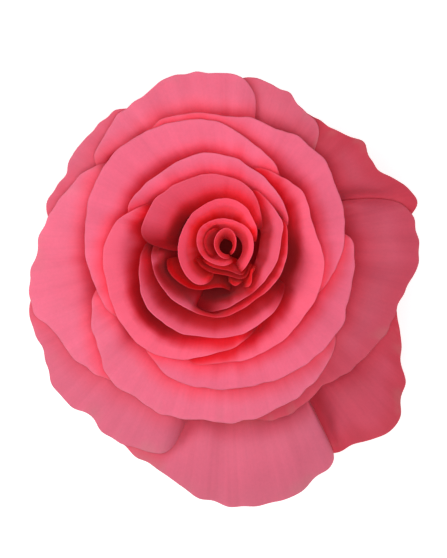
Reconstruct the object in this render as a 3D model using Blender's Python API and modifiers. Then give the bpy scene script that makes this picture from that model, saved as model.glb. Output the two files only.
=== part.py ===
"""A full-blown rose head, cut just under the hip and laid face up.

Every large petal, each sepal, the hip and the cut stem is a solid of its own.
The small petals of the heart are joined, at their roots, to one smaller core.

The petals are laid one after another, from the heart outwards. Each point of a
petal is given by its azimuth round the flower's axis, its reach (distance from
the middle of the receptacle) and its lean (angle away from the axis). A petal is
leant out further wherever it would come too near a petal that is already laid.

All sizes below are in millimetres and degrees; MM turns them into metres.
"""

import math

import bmesh
import bpy
import numpy as np

MM = 0.001

# Receptacle, hip and stem
RECEPTACLE_HEIGHT = 16.0
RECEPTACLE_RADIUS = 7.0
SEAT_GAP = 0.3
HIP_BOTTOM = 3.5
HIP_BOTTOM_RADIUS = 2.9
HIP_RADIUS = 5.6
HIP_WIDEST_HEIGHT = 8.0
HIP_NECK_RADIUS = 4.9
HIP_NECK_HEIGHT = 11.0
ROUND_SIDES = 28
CORE_SIDES = 20
STEM_RADIUS = 2.6
STEM_SIDES = 16

# Petals
PETAL_THICKNESS = 0.65
PETAL_SPACING = 1.02
HEART_SPACING = 0.95
CLAW_HALF_WIDTH = 13.0
CLAW_REACH = RECEPTACLE_RADIUS + SEAT_GAP + 0.05
WIDEST_PART = 0.60
WIDENING = 1.1
NECK_PART = 0.62
LOWER_BEND = 1.25
UPPER_BEND = 1.8
TUCK_DEPTH = 0.34
FIRST_CLAW_LEAN = 48.0
LAST_CLAW_LEAN = 92.0
SMALLEST_FACING = 0.6

# Heart of small petals standing out of its smaller core
CORE_TOP_HEIGHT = 46.5
CORE_RADIUS = 6.4
CORE_CROWN = 3.8
CORE_WAIST_HEIGHT = 29.0
CORE_FOOT_LEAN = 36.0
HEART_CLAW_REACH = 21.0
HEART_CLAW_LEANS = (3.0, 14.0)

# Rows of a petal's mesh from claw to rim, and the closest that its columns may stand
PETAL_ROWS = (0.0, 0.19, 0.38, 0.57, 0.75, 0.89, 1.0)
HEART_ROWS = (0.0, 0.25, 0.50, 0.76, 1.0)
COLUMN_STEP = 4.5
NESTED_STEP = 15.0
NESTED_RADIUS = 20.0
FINE_PARTS = 8
CLEARING_ROUNDS = 3
PUSH_ROUNDS = 12
RIM_EASE = 0.3

# Map of the lean already taken up, by reach and azimuth
REACH_STEP = 0.5
REACH_COUNT = 150
AZIMUTH_STEP = 2.0
AZIMUTH_COUNT = 180

# Sepals
SEPAL_COUNT = 5
SEPAL_FIRST_AZIMUTH = 18.0
SEPAL_THICKNESS = 0.9
SEPAL_HALF_WIDTH = 4.2
SEPAL_ROOT = (6.4, 9.6)
SEPAL_BEND = (15.0, 11.6)
SEPAL_KNEE = (24.0, 8.0)
SEPAL_TIP = (29.5, 0.3)

# Height of a petal's rim, by its distance from the axis
RIM_HEIGHTS = [(0.0, 57.5), (6.0, 59.5), (12.0, 61.5), (18.0, 61.8), (22.0, 60.8), (26.0, 59.2),
               (30.0, 57.0), (36.0, 53.0), (42.0, 48.5), (48.0, 43.0), (54.0, 37.0), (60.0, 32.0), (66.0, 29.0)]

# Rims are (azimuth, distance from the axis), anticlockwise from +X.
# tucks is how many degrees at the first and the last end dive behind the neighbours.
HEART_PETALS = [
    {"claw": 140, "tucks": (4, 4), "neck": 0.80,
     "rim": [(30, 1.9), (60, 2.4), (90, 2.8), (120, 2.8), (180, 2.6), (210, 2.7), (230, 3.1), (250, 3.4)]},
    {"claw": 320, "tucks": (4, 4), "neck": 0.80,
     "rim": [(262, 3.4), (270, 3.3), (300, 2.5), (330, 1.8), (360, 1.7), (378, 1.9)]},
    {"claw": 235, "tucks": (12, 20), "neck": 0.74,
     "rim": [(122, 6.0), (140, 6.3), (160, 6.5), (180, 6.3), (200, 5.9), (220, 5.4), (240, 5.0), (260, 4.7),
             (280, 4.4), (300, 4.0), (345, 3.6)]},
    {"claw": 55, "tucks": (8, 16), "neck": 0.74,
     "rim": [(-52, 6.9), (-38, 6.8), (-20, 6.5), (0, 6.7), (20, 6.6), (40, 6.2), (60, 5.9), (90, 6.0),
             (120, 6.6), (140, 7.5), (158, 8.2)]},
    {"claw": 285, "tucks": (10, 10), "neck": 0.90,
     "rim": [(226, 6.7), (240, 6.2), (265, 5.9), (290, 5.8), (300, 5.9)]},
    {"claw": 245, "tucks": (10, 10), "neck": 0.90,
     "rim": [(222, 7.9), (240, 7.5), (265, 7.1), (290, 7.1), (312, 8.0)]},
    {"claw": 130, "tucks": (8, 14), "neck": 0.72,
     "rim": [(20, 8.4), (30, 8.4), (40, 8.6), (50, 9.2), (60, 9.9), (70, 10.3), (80, 10.7), (100, 10.9),
             (120, 10.7), (140, 10.9), (160, 10.9), (180, 11.5), (200, 12.0), (220, 11.9), (236, 11.2),
             (254, 10.2)]},
    {"claw": 215, "tucks": (10, 12), "neck": 0.80,
     "rim": [(198, 13.6), (209, 14.2), (224, 13.6), (238, 13.0), (248, 11.9), (256, 11.4), (272, 11.6)]},
    {"claw": 300, "tucks": (6, 6), "neck": 0.75,
     "rim": [(279, 10.4), (287, 11.0), (295, 11.4), (303, 11.0), (312, 10.2)]},
]

PETALS = [
    {"claw": 125, "tucks": (12, 8), "neck": 0.80,
     "rim": [(34, 12.3), (40, 12.5), (60, 13.8), (80, 15.9), (100, 17.1), (120, 18.5), (140, 20.7),
             (160, 21.4), (172, 21.6), (180, 21.4), (186, 21.0)]},
    {"claw": 345, "tucks": (12, 14), "neck": 0.84,
     "rim": [(-100, 15.6), (-90, 15.3), (-70, 13.6), (-50, 12.8), (-30, 12.7), (-10, 12.8), (10, 13.3),
             (30, 14.0), (50, 14.6), (60, 15.2), (72, 16.0)]},
    {"claw": 285, "tucks": (8, 16), "neck": 0.88,
     "rim": [(-172, 16.9), (-159, 17.4), (-138, 17.0), (-117, 17.1), (-96, 16.9), (-75, 15.6), (-54, 15.0),
             (-33, 15.0), (-12, 14.9), (9, 14.5), (20, 14.8), (32, 15.6)]},
    {"claw": 240, "tucks": (8, 14), "neck": 0.87,
     "rim": [(176, 23.0), (183, 22.0), (190, 21.3), (200, 21.8), (210, 22.8), (230, 23.8), (250, 23.4),
             (270, 22.4), (290, 21.2), (310, 19.5), (320, 19.2)]},
    {"claw": 200, "tucks": (9, 14), "neck": 0.80,
     "rim": [(146, 22.8), (152, 22.9), (158, 23.8), (164, 25.5), (171, 27.3), (178, 29.0), (185, 29.5),
             (192, 29.7), (206, 30.4), (220, 31.2), (234, 31.5), (248, 29.9), (262, 27.0), (276, 24.8),
             (294, 23.4)]},
    {"claw": 85, "tucks": (12, 10), "neck": 0.84,
     "rim": [(6, 16.6), (15, 16.0), (30, 16.6), (45, 17.2), (60, 18.2), (75, 19.7), (90, 21.2),
             (105, 22.3), (120, 23.1), (135, 23.8), (150, 24.2), (158, 25.2), (166, 27.0)]},
    {"claw": 345, "tucks": (10, 16), "neck": 0.82,
     "rim": [(-108, 30.6), (-98, 29.0), (-91, 28.2), (-72, 27.5), (-53, 26.1), (-34, 25.9), (-15, 24.2),
             (4, 21.9), (18, 21.2), (26, 21.9), (33, 22.3), (42, 21.6), (61, 20.4), (72, 21.0), (84, 22.4)]},
    {"claw": 135, "tucks": (10, 10), "neck": 0.82,
     "rim": [(42, 23.4), (52, 22.8), (62, 23.4), (78, 26.0), (94, 29.3), (110, 31.3), (126, 32.7),
             (142, 34.4), (158, 35.0), (174, 34.5), (190, 33.7), (206, 32.8), (214, 32.7), (226, 33.6)]},
    {"claw": 45, "tucks": (8, 12), "neck": 0.82,
     "rim": [(-10, 27.6), (-5, 27.3), (6, 28.4), (17, 29.6), (28, 29.9), (39, 31.4), (50, 31.3), (61, 30.4),
             (72, 30.1), (83, 30.6), (94, 31.2), (110, 33.6)]},
    {"claw": 300, "tucks": (10, 10), "neck": 0.82,
     "rim": [(-142, 34.8), (-130, 33.8), (-123, 33.4), (-108, 34.9), (-93, 34.9), (-78, 34.6), (-63, 34.9),
             (-48, 34.3), (-33, 34.2), (-18, 32.3), (-3, 30.5), (4, 30.6), (15, 31.8)]},
    {"claw": 262, "tucks": (6, 8), "neck": 0.80,
     "rim": [(198, 36.2), (204, 36.0), (209, 37.0), (217, 39.2), (223, 40.8), (228, 42.6), (233, 43.0),
             (236, 42.6), (241, 43.2), (249, 43.9), (254, 43.6), (260, 42.8), (268, 42.9), (277, 42.6),
             (283, 42.3), (290, 41.2), (295, 40.7), (300, 39.8), (305, 39.2), (312, 37.5), (318, 36.7),
             (326, 36.4)]},
    {"claw": 190, "tucks": (13, 6), "neck": 0.80,
     "rim": [(139, 38.4), (145, 38.2), (150, 38.6), (154.5, 39.4), (160, 40.8), (165.4, 41.9), (171, 43.4),
             (178.5, 44.9), (184, 45.7), (187.4, 47.6), (189.3, 47.6), (192, 48.6), (195, 49.1),
             (199.6, 49.3), (203, 47.7), (207.5, 46.4), (213, 45.9), (219, 45.2), (224, 44.8), (231, 45.2)]},
    {"claw": 107, "tucks": (4, 9), "neck": 0.80,
     "rim": [(78, 38.8), (81.4, 38.5), (84, 40.0), (88.6, 40.7), (93.5, 41.1), (99.5, 42.0), (106, 42.5),
             (110, 42.5), (114, 41.9), (119, 41.0), (125, 40.4), (129.5, 40.3), (135, 39.8), (142, 39.6),
             (151, 40.2)]},
    {"claw": 330, "tucks": (6, 5), "neck": 0.80,
     "rim": [(-82, 44.4), (-76, 44.0), (-70, 43.8), (-65, 43.0), (-60, 42.0), (-56, 41.2), (-51, 41.7),
             (-46, 42.5), (-41, 43.1), (-35.5, 43.6), (-30, 44.2), (-26, 44.0), (-19, 44.0), (-13, 44.7),
             (-7.6, 46.3), (-3, 46.5), (2, 46.5), (8, 45.7), (12, 45.0), (18, 44.4)]},
    {"claw": 66, "tucks": (6, 5), "neck": 0.80,
     "rim": [(46, 36.6), (52.5, 36.2), (57, 36.5), (63, 37.8), (68, 39.4), (73, 39.6), (77, 39.4),
             (81, 39.7), (87, 41.8)]},
    {"claw": 230, "tucks": (7, 3), "neck": 0.82,
     "rim": [(199, 50.4), (206, 50.8), (211, 51.3), (215, 52.2), (218, 53.7), (221, 54.1), (225, 54.3),
             (227, 54.4), (230, 52.8), (232, 53.1), (235, 54.0), (241, 54.5), (247, 53.9), (251, 53.4),
             (257, 52.0)]},
    {"claw": 20, "tucks": (5, 5), "neck": 0.80,
     "rim": [(7, 47.0), (11, 46.9), (14, 46.8), (16, 46.2), (18.5, 45.0), (20.6, 43.6), (24.7, 41.5),
             (30, 40.6), (34, 40.7), (37.5, 41.4), (41, 39.3), (46.6, 37.8), (52, 37.8), (58, 38.6)]},
    {"claw": 150, "tucks": (5, 5), "neck": 0.80,
     "rim": [(127, 41.8), (132, 41.5), (137, 41.9), (140, 42.2), (144, 42.2), (148.5, 42.6), (152, 42.8),
             (154.5, 42.2), (157, 41.8), (160, 42.3), (163, 43.3), (166, 43.8), (173, 45.4)]},
    {"claw": 270, "tucks": (5, 3), "neck": 0.84,
     "rim": [(242, 56.4), (247, 55.4), (250, 55.8), (253, 56.8), (256, 58.2), (259, 59.5), (262, 61.0),
             (264, 61.9), (267, 62.6), (271, 63.5), (275, 63.8), (280, 63.8), (284, 63.3), (288, 62.1),
             (293, 59.8), (296.6, 59.0), (300, 57.8)]},
    {"claw": 315, "tucks": (4, 4), "neck": 0.84,
     "rim": [(-67, 59.0), (-63.5, 57.8), (-61.5, 56.6), (-59, 56.7), (-56.9, 57.8), (-53, 59.1),
             (-49.8, 60.0), (-46, 60.3), (-44, 59.0), (-42.5, 57.2), (-40, 55.9), (-38, 54.9),
             (-34.3, 51.1), (-29.4, 48.3), (-26.6, 46.7), (-21, 46.0)]},
]


def curve_through(points, x):
    """A smooth curve through the given (x, y) points, read at x."""
    xs = np.array([point[0] for point in points], dtype=float)
    ys = np.array([point[1] for point in points], dtype=float)
    slopes = np.gradient(ys, xs)
    x = np.clip(np.asarray(x, dtype=float), xs[0], xs[-1])
    index = np.clip(np.searchsorted(xs, x) - 1, 0, len(xs) - 2)
    width = xs[index + 1] - xs[index]
    s = (x - xs[index]) / width
    rise = s * s * (3.0 - 2.0 * s)
    start_bend = s * (1.0 - s) ** 2 * width * slopes[index]
    end_bend = s * s * (s - 1.0) * width * slopes[index + 1]
    return ys[index] * (1.0 - rise) + ys[index + 1] * rise + start_bend + end_bend


def to_points(reach, lean, azimuth):
    """Points from reach, lean and azimuth, the angles in radians."""
    distance = reach * np.sin(lean)
    return np.stack([distance * np.cos(azimuth), distance * np.sin(azimuth),
                     RECEPTACLE_HEIGHT + reach * np.cos(lean)], axis=-1)


def columns(rim):
    """Azimuths of a petal's mesh columns.

    Near the axis they lie on whole steps, so that the faces of petals that nest are
    parallel. Further out they are the rim's own points, less those that crowd.
    """
    first = rim[0][0]
    last = rim[-1][0]
    if np.mean([distance for _, distance in rim]) < NESTED_RADIUS:
        inner = np.arange(math.ceil((first + 2.0) / NESTED_STEP), math.floor((last - 2.0) / NESTED_STEP) + 1)
        return np.concatenate([[first], inner * NESTED_STEP, [last]])
    kept = [first]
    for azimuth, _ in rim[1:-1]:
        if azimuth - kept[-1] >= COLUMN_STEP and last - azimuth >= COLUMN_STEP * 0.6:
            kept.append(azimuth)
    return np.array(kept + [last], dtype=float)


def refine(points, parts):
    """Points between those of a grid, each cell split into parts along both sides."""
    for axis in (0, 1):
        points = np.moveaxis(points, axis, 0)
        between = [points[:-1] * (1.0 - k / parts) + points[1:] * (k / parts) for k in range(parts)]
        stacked = np.stack(between, axis=1).reshape(-1, *points.shape[1:])
        points = np.moveaxis(np.concatenate([stacked, points[-1:]]), 0, axis)
    return points


def to_polar(points):
    """Reach, lean and azimuth of points, the angles in radians."""
    distance = np.hypot(points[..., 0], points[..., 1])
    rise = points[..., 2] - RECEPTACLE_HEIGHT
    return np.hypot(distance, rise), np.arctan2(distance, rise), np.arctan2(points[..., 1], points[..., 0])


def read_taken(taken, reach, azimuth):
    """The lean already taken up at a reach and an azimuth in radians."""
    row = np.clip(reach / REACH_STEP, 0.0, REACH_COUNT - 1.001)
    column = (np.degrees(azimuth) / AZIMUTH_STEP) % AZIMUTH_COUNT
    row0 = np.floor(row).astype(int)
    column0 = np.floor(column).astype(int) % AZIMUTH_COUNT
    column1 = (column0 + 1) % AZIMUTH_COUNT
    return np.maximum.reduce([taken[row0, column0], taken[row0, column1],
                              taken[row0 + 1, column0], taken[row0 + 1, column1]])


def corner_push(need, shape):
    """How far to lean out each corner of a grid so that every need between them is met.

    The corners of the worst spot in each cell are moved in turn, in proportion to
    their share in it, and the corners on the rim move least.
    """
    steps = np.linspace(0.0, 1.0, FINE_PARTS + 1)
    near = 1.0 - steps
    shares = np.stack([np.outer(near, near), np.outer(near, steps), np.outer(steps, near),
                       np.outer(steps, steps)], axis=-1).reshape(-1, 4)
    push = np.zeros(shape)
    ease = np.ones(shape)
    ease[:, -1] = RIM_EASE
    cells = [(i, j) for i in range(shape[0] - 1) for j in range(shape[1] - 1)
             if need[i * FINE_PARTS:(i + 1) * FINE_PARTS + 1, j * FINE_PARTS:(j + 1) * FINE_PARTS + 1].max() > 0.0]
    for _ in range(PUSH_ROUNDS):
        for i, j in cells:
            wanted = need[i * FINE_PARTS:(i + 1) * FINE_PARTS + 1, j * FINE_PARTS:(j + 1) * FINE_PARTS + 1].ravel()
            short = wanted - shares @ push[i:i + 2, j:j + 2].ravel()
            worst = int(short.argmax())
            if short[worst] > 0.0002:
                pull = shares[worst] * ease[i:i + 2, j:j + 2].ravel()
                step = pull * short[worst] / (pull @ shares[worst])
                push[i:i + 2, j:j + 2] += step.reshape(2, 2)
    return push


def claim_room(points, spacing, taken):
    """Mark the lean that a sheet and the clearance outside it take up."""
    reach, lean, azimuth = to_polar(points)
    normal = np.cross(np.gradient(points, axis=0), np.gradient(points, axis=1))
    normal /= np.maximum(np.linalg.norm(normal, axis=-1, keepdims=True), 1e-9)
    outward = np.stack([np.cos(lean) * np.cos(azimuth), np.cos(lean) * np.sin(azimuth), -np.sin(lean)], axis=-1)
    facing = np.maximum(np.abs(np.sum(normal * outward, axis=-1)), SMALLEST_FACING)
    room = lean + spacing / (reach * facing)
    rows = (reach / REACH_STEP).round().astype(int)
    turns = (np.degrees(azimuth) / AZIMUTH_STEP).round().astype(int)
    for row_shift in (-1, 0, 1):
        for turn_shift in (-1, 0, 1):
            np.maximum.at(taken, (np.clip(rows + row_shift, 0, REACH_COUNT - 1),
                                  (turns + turn_shift) % AZIMUTH_COUNT), room)


def lay_petal(petal, rows, claw_lean, claw_reach, spacing, taken):
    """Work out the corner points of one petal's sheet, clear of the petals already laid."""
    rim_azimuth, along = np.meshgrid(columns(petal["rim"]), rows, indexing="ij")
    first = rim_azimuth[0, 0]
    last = rim_azimuth[-1, 0]
    rim_distance = curve_through(petal["rim"], rim_azimuth)
    rim_rise = curve_through(RIM_HEIGHTS, rim_distance) - RECEPTACLE_HEIGHT
    rim_reach = np.hypot(rim_distance, rim_rise)
    rim_lean = np.arctan2(rim_distance, rim_rise)

    first_tuck = np.clip(1.0 - (rim_azimuth - first) / petal["tucks"][0], 0.0, 1.0)
    last_tuck = np.clip(1.0 - (last - rim_azimuth) / petal["tucks"][1], 0.0, 1.0)
    part = along * (1.0 - TUCK_DEPTH * np.maximum(first_tuck, last_tuck) ** 2)
    reach = claw_reach + (rim_reach - claw_reach) * part

    middle = petal["claw"]
    if middle > last:
        middle -= 360.0
    spread = np.clip(part / WIDEST_PART, 0.0, 1.0)
    claw_share = CLAW_HALF_WIDTH / max(last - middle, middle - first, CLAW_HALF_WIDTH)
    share = claw_share + (1.0 - claw_share) * spread ** WIDENING
    azimuth = np.radians(middle + (rim_azimuth - middle) * share)

    neck_lean = rim_lean * petal["neck"]
    below = np.clip(1.0 - part / NECK_PART, 0.0, 1.0) ** LOWER_BEND
    above = np.clip((part - NECK_PART) / (1.0 - NECK_PART), 0.0, 1.0) ** UPPER_BEND
    lean = neck_lean + (math.radians(claw_lean) - neck_lean) * below + (rim_lean - neck_lean) * above

    for _ in range(CLEARING_ROUNDS):
        fine_reach, fine_lean, fine_azimuth = to_polar(refine(to_points(reach, lean, azimuth), FINE_PARTS))
        need = np.maximum(read_taken(taken, fine_reach, fine_azimuth) - fine_lean, 0.0)
        push = corner_push(need, lean.shape)
        if claw_reach > CLAW_REACH:
            push[:, 0] = 0.0
        lean = lean + push
    points = to_points(reach, lean, azimuth)
    claim_room(refine(points, FINE_PARTS), spacing, taken)
    return points


def core_profile():
    """The core's outer side from top to foot, as (distance, height)."""
    top = [(CORE_RADIUS * math.sin(math.radians(angle)),
            CORE_TOP_HEIGHT - CORE_CROWN * (1.0 - math.cos(math.radians(angle)))) for angle in (0, 30, 60, 90)]
    foot_reach = RECEPTACLE_RADIUS + SEAT_GAP + 1.0
    foot = (foot_reach * math.sin(math.radians(CORE_FOOT_LEAN)),
            RECEPTACLE_HEIGHT + foot_reach * math.cos(math.radians(CORE_FOOT_LEAN)))
    return top + [(CORE_RADIUS, CORE_WAIST_HEIGHT), foot]


def claim_core(taken):
    """Keep the large petals outside the core."""
    profile = np.array(core_profile())
    steps = np.linspace(0.0, 1.0, 40)[:, None]
    side = np.concatenate([start * (1.0 - steps) + end * steps for start, end in zip(profile, profile[1:])])
    reach = np.hypot(side[:, 0], side[:, 1] - RECEPTACLE_HEIGHT)
    lean = np.arctan2(side[:, 0], side[:, 1] - RECEPTACLE_HEIGHT) + PETAL_SPACING / reach
    rows = (reach / REACH_STEP).round().astype(int)
    for shift in (-1, 0, 1):
        np.maximum.at(taken, rows + shift, lean[:, None])


def lay_all_petals():
    """Corner points of the heart's petals and of the large petals, from the inside out."""
    taken = np.zeros((REACH_COUNT, AZIMUTH_COUNT))
    heart = []
    for number, petal in enumerate(HEART_PETALS):
        share = number / (len(HEART_PETALS) - 1)
        claw_lean = HEART_CLAW_LEANS[0] + (HEART_CLAW_LEANS[1] - HEART_CLAW_LEANS[0]) * share
        heart.append(lay_petal(petal, HEART_ROWS, claw_lean, HEART_CLAW_REACH, HEART_SPACING, taken))
    claim_core(taken)
    large = []
    for number, petal in enumerate(PETALS):
        share = number / (len(PETALS) - 1)
        claw_lean = FIRST_CLAW_LEAN + (LAST_CLAW_LEAN - FIRST_CLAW_LEAN) * share
        large.append(lay_petal(petal, PETAL_ROWS, claw_lean, CLAW_REACH, PETAL_SPACING, taken))
    return heart, large


def make_material(name, color, roughness):
    """A plain plant material."""
    material = bpy.data.materials.new(name)
    material.use_nodes = True
    shader = material.node_tree.nodes["Principled BSDF"]
    shader.inputs["Base Color"].default_value = (*color, 1.0)
    shader.inputs["Roughness"].default_value = roughness
    shader.inputs["Metallic"].default_value = 0.0
    material.diffuse_color = (*color, 1.0)
    return material


def add_object(name, mesh, material, collection):
    """An object for a mesh, with its own material."""
    obj = bpy.data.objects.new(name, mesh)
    obj.data.materials.append(material)
    collection.objects.link(obj)
    return obj


def thicken(obj, thickness):
    """Give an open sheet its wall, half to each side."""
    solidify = obj.modifiers.new("Wall", "SOLIDIFY")
    solidify.thickness = thickness * MM
    solidify.offset = 0.0


def triangulated_grid(name, across_steps, along_steps, place):
    """A grid mesh split into triangles, each point moved to place(across, along)."""
    bm = bmesh.new()
    bmesh.ops.create_grid(bm, x_segments=across_steps, y_segments=along_steps, size=0.5)
    coordinates = np.array([vertex.co[:] for vertex in bm.verts])
    points = place(coordinates[:, 0] + 0.5, coordinates[:, 1] + 0.5)
    for vertex, point in zip(bm.verts, points):
        vertex.co = point * MM
    bmesh.ops.triangulate(bm, faces=bm.faces[:])
    mesh = bpy.data.meshes.new(name)
    bm.to_mesh(mesh)
    bm.free()
    mesh.shade_smooth()
    return mesh


def make_petal(name, points, material, collection):
    """One petal as a thin solid from the corner points of its sheet."""
    def place(across, along):
        i = np.round(across * (points.shape[0] - 1)).astype(int)
        j = np.round(along * (points.shape[1] - 1)).astype(int)
        return points[i, j]

    mesh = triangulated_grid(name, points.shape[0] - 1, points.shape[1] - 1, place)
    obj = add_object(name, mesh, material, collection)
    thicken(obj, PETAL_THICKNESS)
    return obj


def turned_solid(name, profile, sides, material, collection):
    """A solid turned about the flower's axis from an outer profile, top to bottom."""
    curve = bpy.data.meshes.new(name)
    bm = bmesh.new()
    corners = [bm.verts.new((radius * MM, 0.0, height * MM)) for radius, height in profile]
    for upper, lower in zip(corners, corners[1:]):
        bm.edges.new((upper, lower))
    bm.to_mesh(curve)
    bm.free()
    obj = add_object(name, curve, material, collection)
    screw = obj.modifiers.new("Turn", "SCREW")
    screw.steps = sides
    screw.render_steps = sides
    screw.use_merge_vertices = True
    screw.merge_threshold = 0.00001
    return obj


def make_heart(sheets, material, collection):
    """The heart: its small petals standing out of a smaller core, joined in one body."""
    seat = RECEPTACLE_RADIUS + SEAT_GAP
    underside = [(seat * math.sin(lean), RECEPTACLE_HEIGHT + seat * math.cos(lean))
                 for lean in np.radians(np.linspace(CORE_FOOT_LEAN, 0.0, 4))]
    heart = turned_solid("heart", core_profile() + underside, CORE_SIDES, material, collection)
    small_petals = bpy.data.collections.new("heart_petals")
    bpy.context.scene.collection.children.link(small_petals)
    for number, sheet in enumerate(sheets):
        petal = make_petal(f"heart_petal_{number + 1}", sheet, material, small_petals)
        mesh = bpy.data.meshes.new_from_object(petal.evaluated_get(bpy.context.evaluated_depsgraph_get()))
        petal.modifiers.clear()
        petal.data = mesh
    union = heart.modifiers.new("Join petals", "BOOLEAN")
    union.operation = "UNION"
    union.operand_type = "COLLECTION"
    union.collection = small_petals
    union.solver = "MANIFOLD"
    joined = bpy.data.meshes.new_from_object(heart.evaluated_get(bpy.context.evaluated_depsgraph_get()))
    heart.modifiers.clear()
    heart.data = joined
    for petal in list(small_petals.objects):
        bpy.data.objects.remove(petal, do_unlink=True)
    bpy.data.collections.remove(small_petals)
    return heart


def make_hip(material, collection):
    """The hip with the rounded receptacle on it, turned as one."""
    dome = [(RECEPTACLE_RADIUS * math.sin(math.radians(lean)),
             RECEPTACLE_HEIGHT + RECEPTACLE_RADIUS * math.cos(math.radians(lean)))
            for lean in (0, 20, 40, 60, 80, 95)]
    body = [(HIP_NECK_RADIUS, HIP_NECK_HEIGHT), (HIP_RADIUS, HIP_WIDEST_HEIGHT + 1.2),
            (HIP_RADIUS, HIP_WIDEST_HEIGHT - 0.8), (HIP_RADIUS * 0.8, HIP_BOTTOM + 2.2),
            (HIP_BOTTOM_RADIUS * 1.15, HIP_BOTTOM + 0.6), (HIP_BOTTOM_RADIUS, HIP_BOTTOM), (0.0, HIP_BOTTOM)]
    return turned_solid("hip", dome + body, ROUND_SIDES, material, collection)


def make_stem(material, collection):
    """The short end of stem left under the hip, cut square."""
    top = HIP_BOTTOM - SEAT_GAP
    profile = [(0.0, top), (STEM_RADIUS, top), (STEM_RADIUS * 0.96, top * 0.5), (STEM_RADIUS, 0.0), (0.0, 0.0)]
    return turned_solid("stem", profile, STEM_SIDES, material, collection)


def make_sepal(number, material, collection):
    """One sepal, bent out and down from under the receptacle to stand on its tip."""
    azimuth = math.radians(SEPAL_FIRST_AZIMUTH + number * 360.0 / SEPAL_COUNT)
    stations = [SEPAL_ROOT, SEPAL_BEND, SEPAL_KNEE, SEPAL_TIP]

    def place(across, along):
        weights = [(1.0 - along) ** 3, 3.0 * along * (1.0 - along) ** 2, 3.0 * along ** 2 * (1.0 - along), along ** 3]
        distance = sum(weight * station[0] for weight, station in zip(weights, stations))
        height = sum(weight * station[1] for weight, station in zip(weights, stations))
        half_width = SEPAL_HALF_WIDTH * (0.10 + 0.66 * np.sin(np.pi * along ** 0.7) + 0.36 * (1.0 - along) ** 2)
        side = (across - 0.5) * 2.0
        sideways = side * half_width
        height = height + 0.10 * half_width * side ** 2 * np.sin(np.pi * along)
        return np.stack([distance * math.cos(azimuth) - sideways * math.sin(azimuth),
                         distance * math.sin(azimuth) + sideways * math.cos(azimuth), height], axis=-1)

    name = f"sepal_{number + 1}"
    obj = add_object(name, triangulated_grid(name, 4, 9, place), material, collection)
    thicken(obj, SEPAL_THICKNESS)
    return obj


def set_on_ground(objects):
    """Move everything so that the box round it stands on Z = 0, centred on the origin."""
    bpy.context.view_layer.update()
    graph = bpy.context.evaluated_depsgraph_get()
    corners = []
    for obj in objects:
        mesh = obj.evaluated_get(graph).to_mesh()
        corners += [obj.matrix_world @ vertex.co for vertex in mesh.vertices]
        obj.evaluated_get(graph).to_mesh_clear()
    points = np.array([corner[:] for corner in corners])
    low = points.min(axis=0)
    high = points.max(axis=0)
    for obj in objects:
        obj.location.x -= (low[0] + high[0]) / 2.0
        obj.location.y -= (low[1] + high[1]) / 2.0
        obj.location.z -= low[2]


def main():
    """Build the rose head."""
    for obj in list(bpy.data.objects):
        bpy.data.objects.remove(obj, do_unlink=True)
    rose = bpy.data.collections.new("rose")
    bpy.context.scene.collection.children.link(rose)

    heart_sheets, petal_sheets = lay_all_petals()
    make_heart(heart_sheets, make_material("heart_petal", (0.80, 0.10, 0.17), 0.55), rose)
    for number, sheet in enumerate(petal_sheets):
        name = f"petal_{number + 1:02d}"
        make_petal(name, sheet, make_material(name, (0.86, 0.18, 0.28), 0.55), rose)
    make_hip(make_material("hip", (0.10, 0.22, 0.05), 0.5), rose)
    make_stem(make_material("stem", (0.16, 0.27, 0.08), 0.6), rose)
    for number in range(SEPAL_COUNT):
        make_sepal(number, make_material(f"sepal_{number + 1}", (0.12, 0.25, 0.06), 0.6), rose)
    set_on_ground(list(rose.objects))


main()
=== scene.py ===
"""A full-blown rose head, dressed petal by petal and set under a soft studio light.

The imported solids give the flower's axis and its ground. Each of them is replaced by a finer
piece of the same form: thin petals that roll over at the rim, a heart of small rolled petals,
a waxy hip, a cut stem end and five bent-back sepals.

The petals are laid from the heart outwards, as in a real bloom. Each point of a petal has an
azimuth round the axis, a reach (distance from the middle of the receptacle) and a lean (angle
away from the axis), and leans out further wherever a petal inside it is in the way.

Lengths in this file are in millimetres and turned into metres where meshes are made. Sizes in
the studio are in metres.
"""

import logging
import math
from collections.abc import Callable
from dataclasses import dataclass, field
from enum import Enum
from functools import cache

import bmesh
import bpy
import numpy as np
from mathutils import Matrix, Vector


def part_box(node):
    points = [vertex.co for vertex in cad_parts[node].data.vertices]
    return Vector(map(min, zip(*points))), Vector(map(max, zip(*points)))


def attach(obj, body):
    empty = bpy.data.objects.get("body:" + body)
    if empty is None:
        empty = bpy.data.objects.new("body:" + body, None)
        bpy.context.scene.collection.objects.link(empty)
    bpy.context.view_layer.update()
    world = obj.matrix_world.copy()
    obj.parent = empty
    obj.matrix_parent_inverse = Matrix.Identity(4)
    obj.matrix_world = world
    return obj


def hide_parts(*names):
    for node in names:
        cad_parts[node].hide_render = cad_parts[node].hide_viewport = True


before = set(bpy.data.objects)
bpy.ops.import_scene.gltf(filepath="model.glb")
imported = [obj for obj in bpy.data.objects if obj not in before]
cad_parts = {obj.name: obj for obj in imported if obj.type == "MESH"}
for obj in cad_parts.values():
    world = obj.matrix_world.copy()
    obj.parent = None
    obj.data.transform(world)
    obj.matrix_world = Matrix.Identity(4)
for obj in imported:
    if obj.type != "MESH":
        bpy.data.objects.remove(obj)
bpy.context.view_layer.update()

MM = 0.001
FULL_TURN = 2.0 * math.pi
LOG = logging.getLogger("rose")

Colour = tuple[float, float, float]
Place = tuple[float, float, float]
Span = tuple[float, float]
Curve = tuple[Span, ...]

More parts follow.
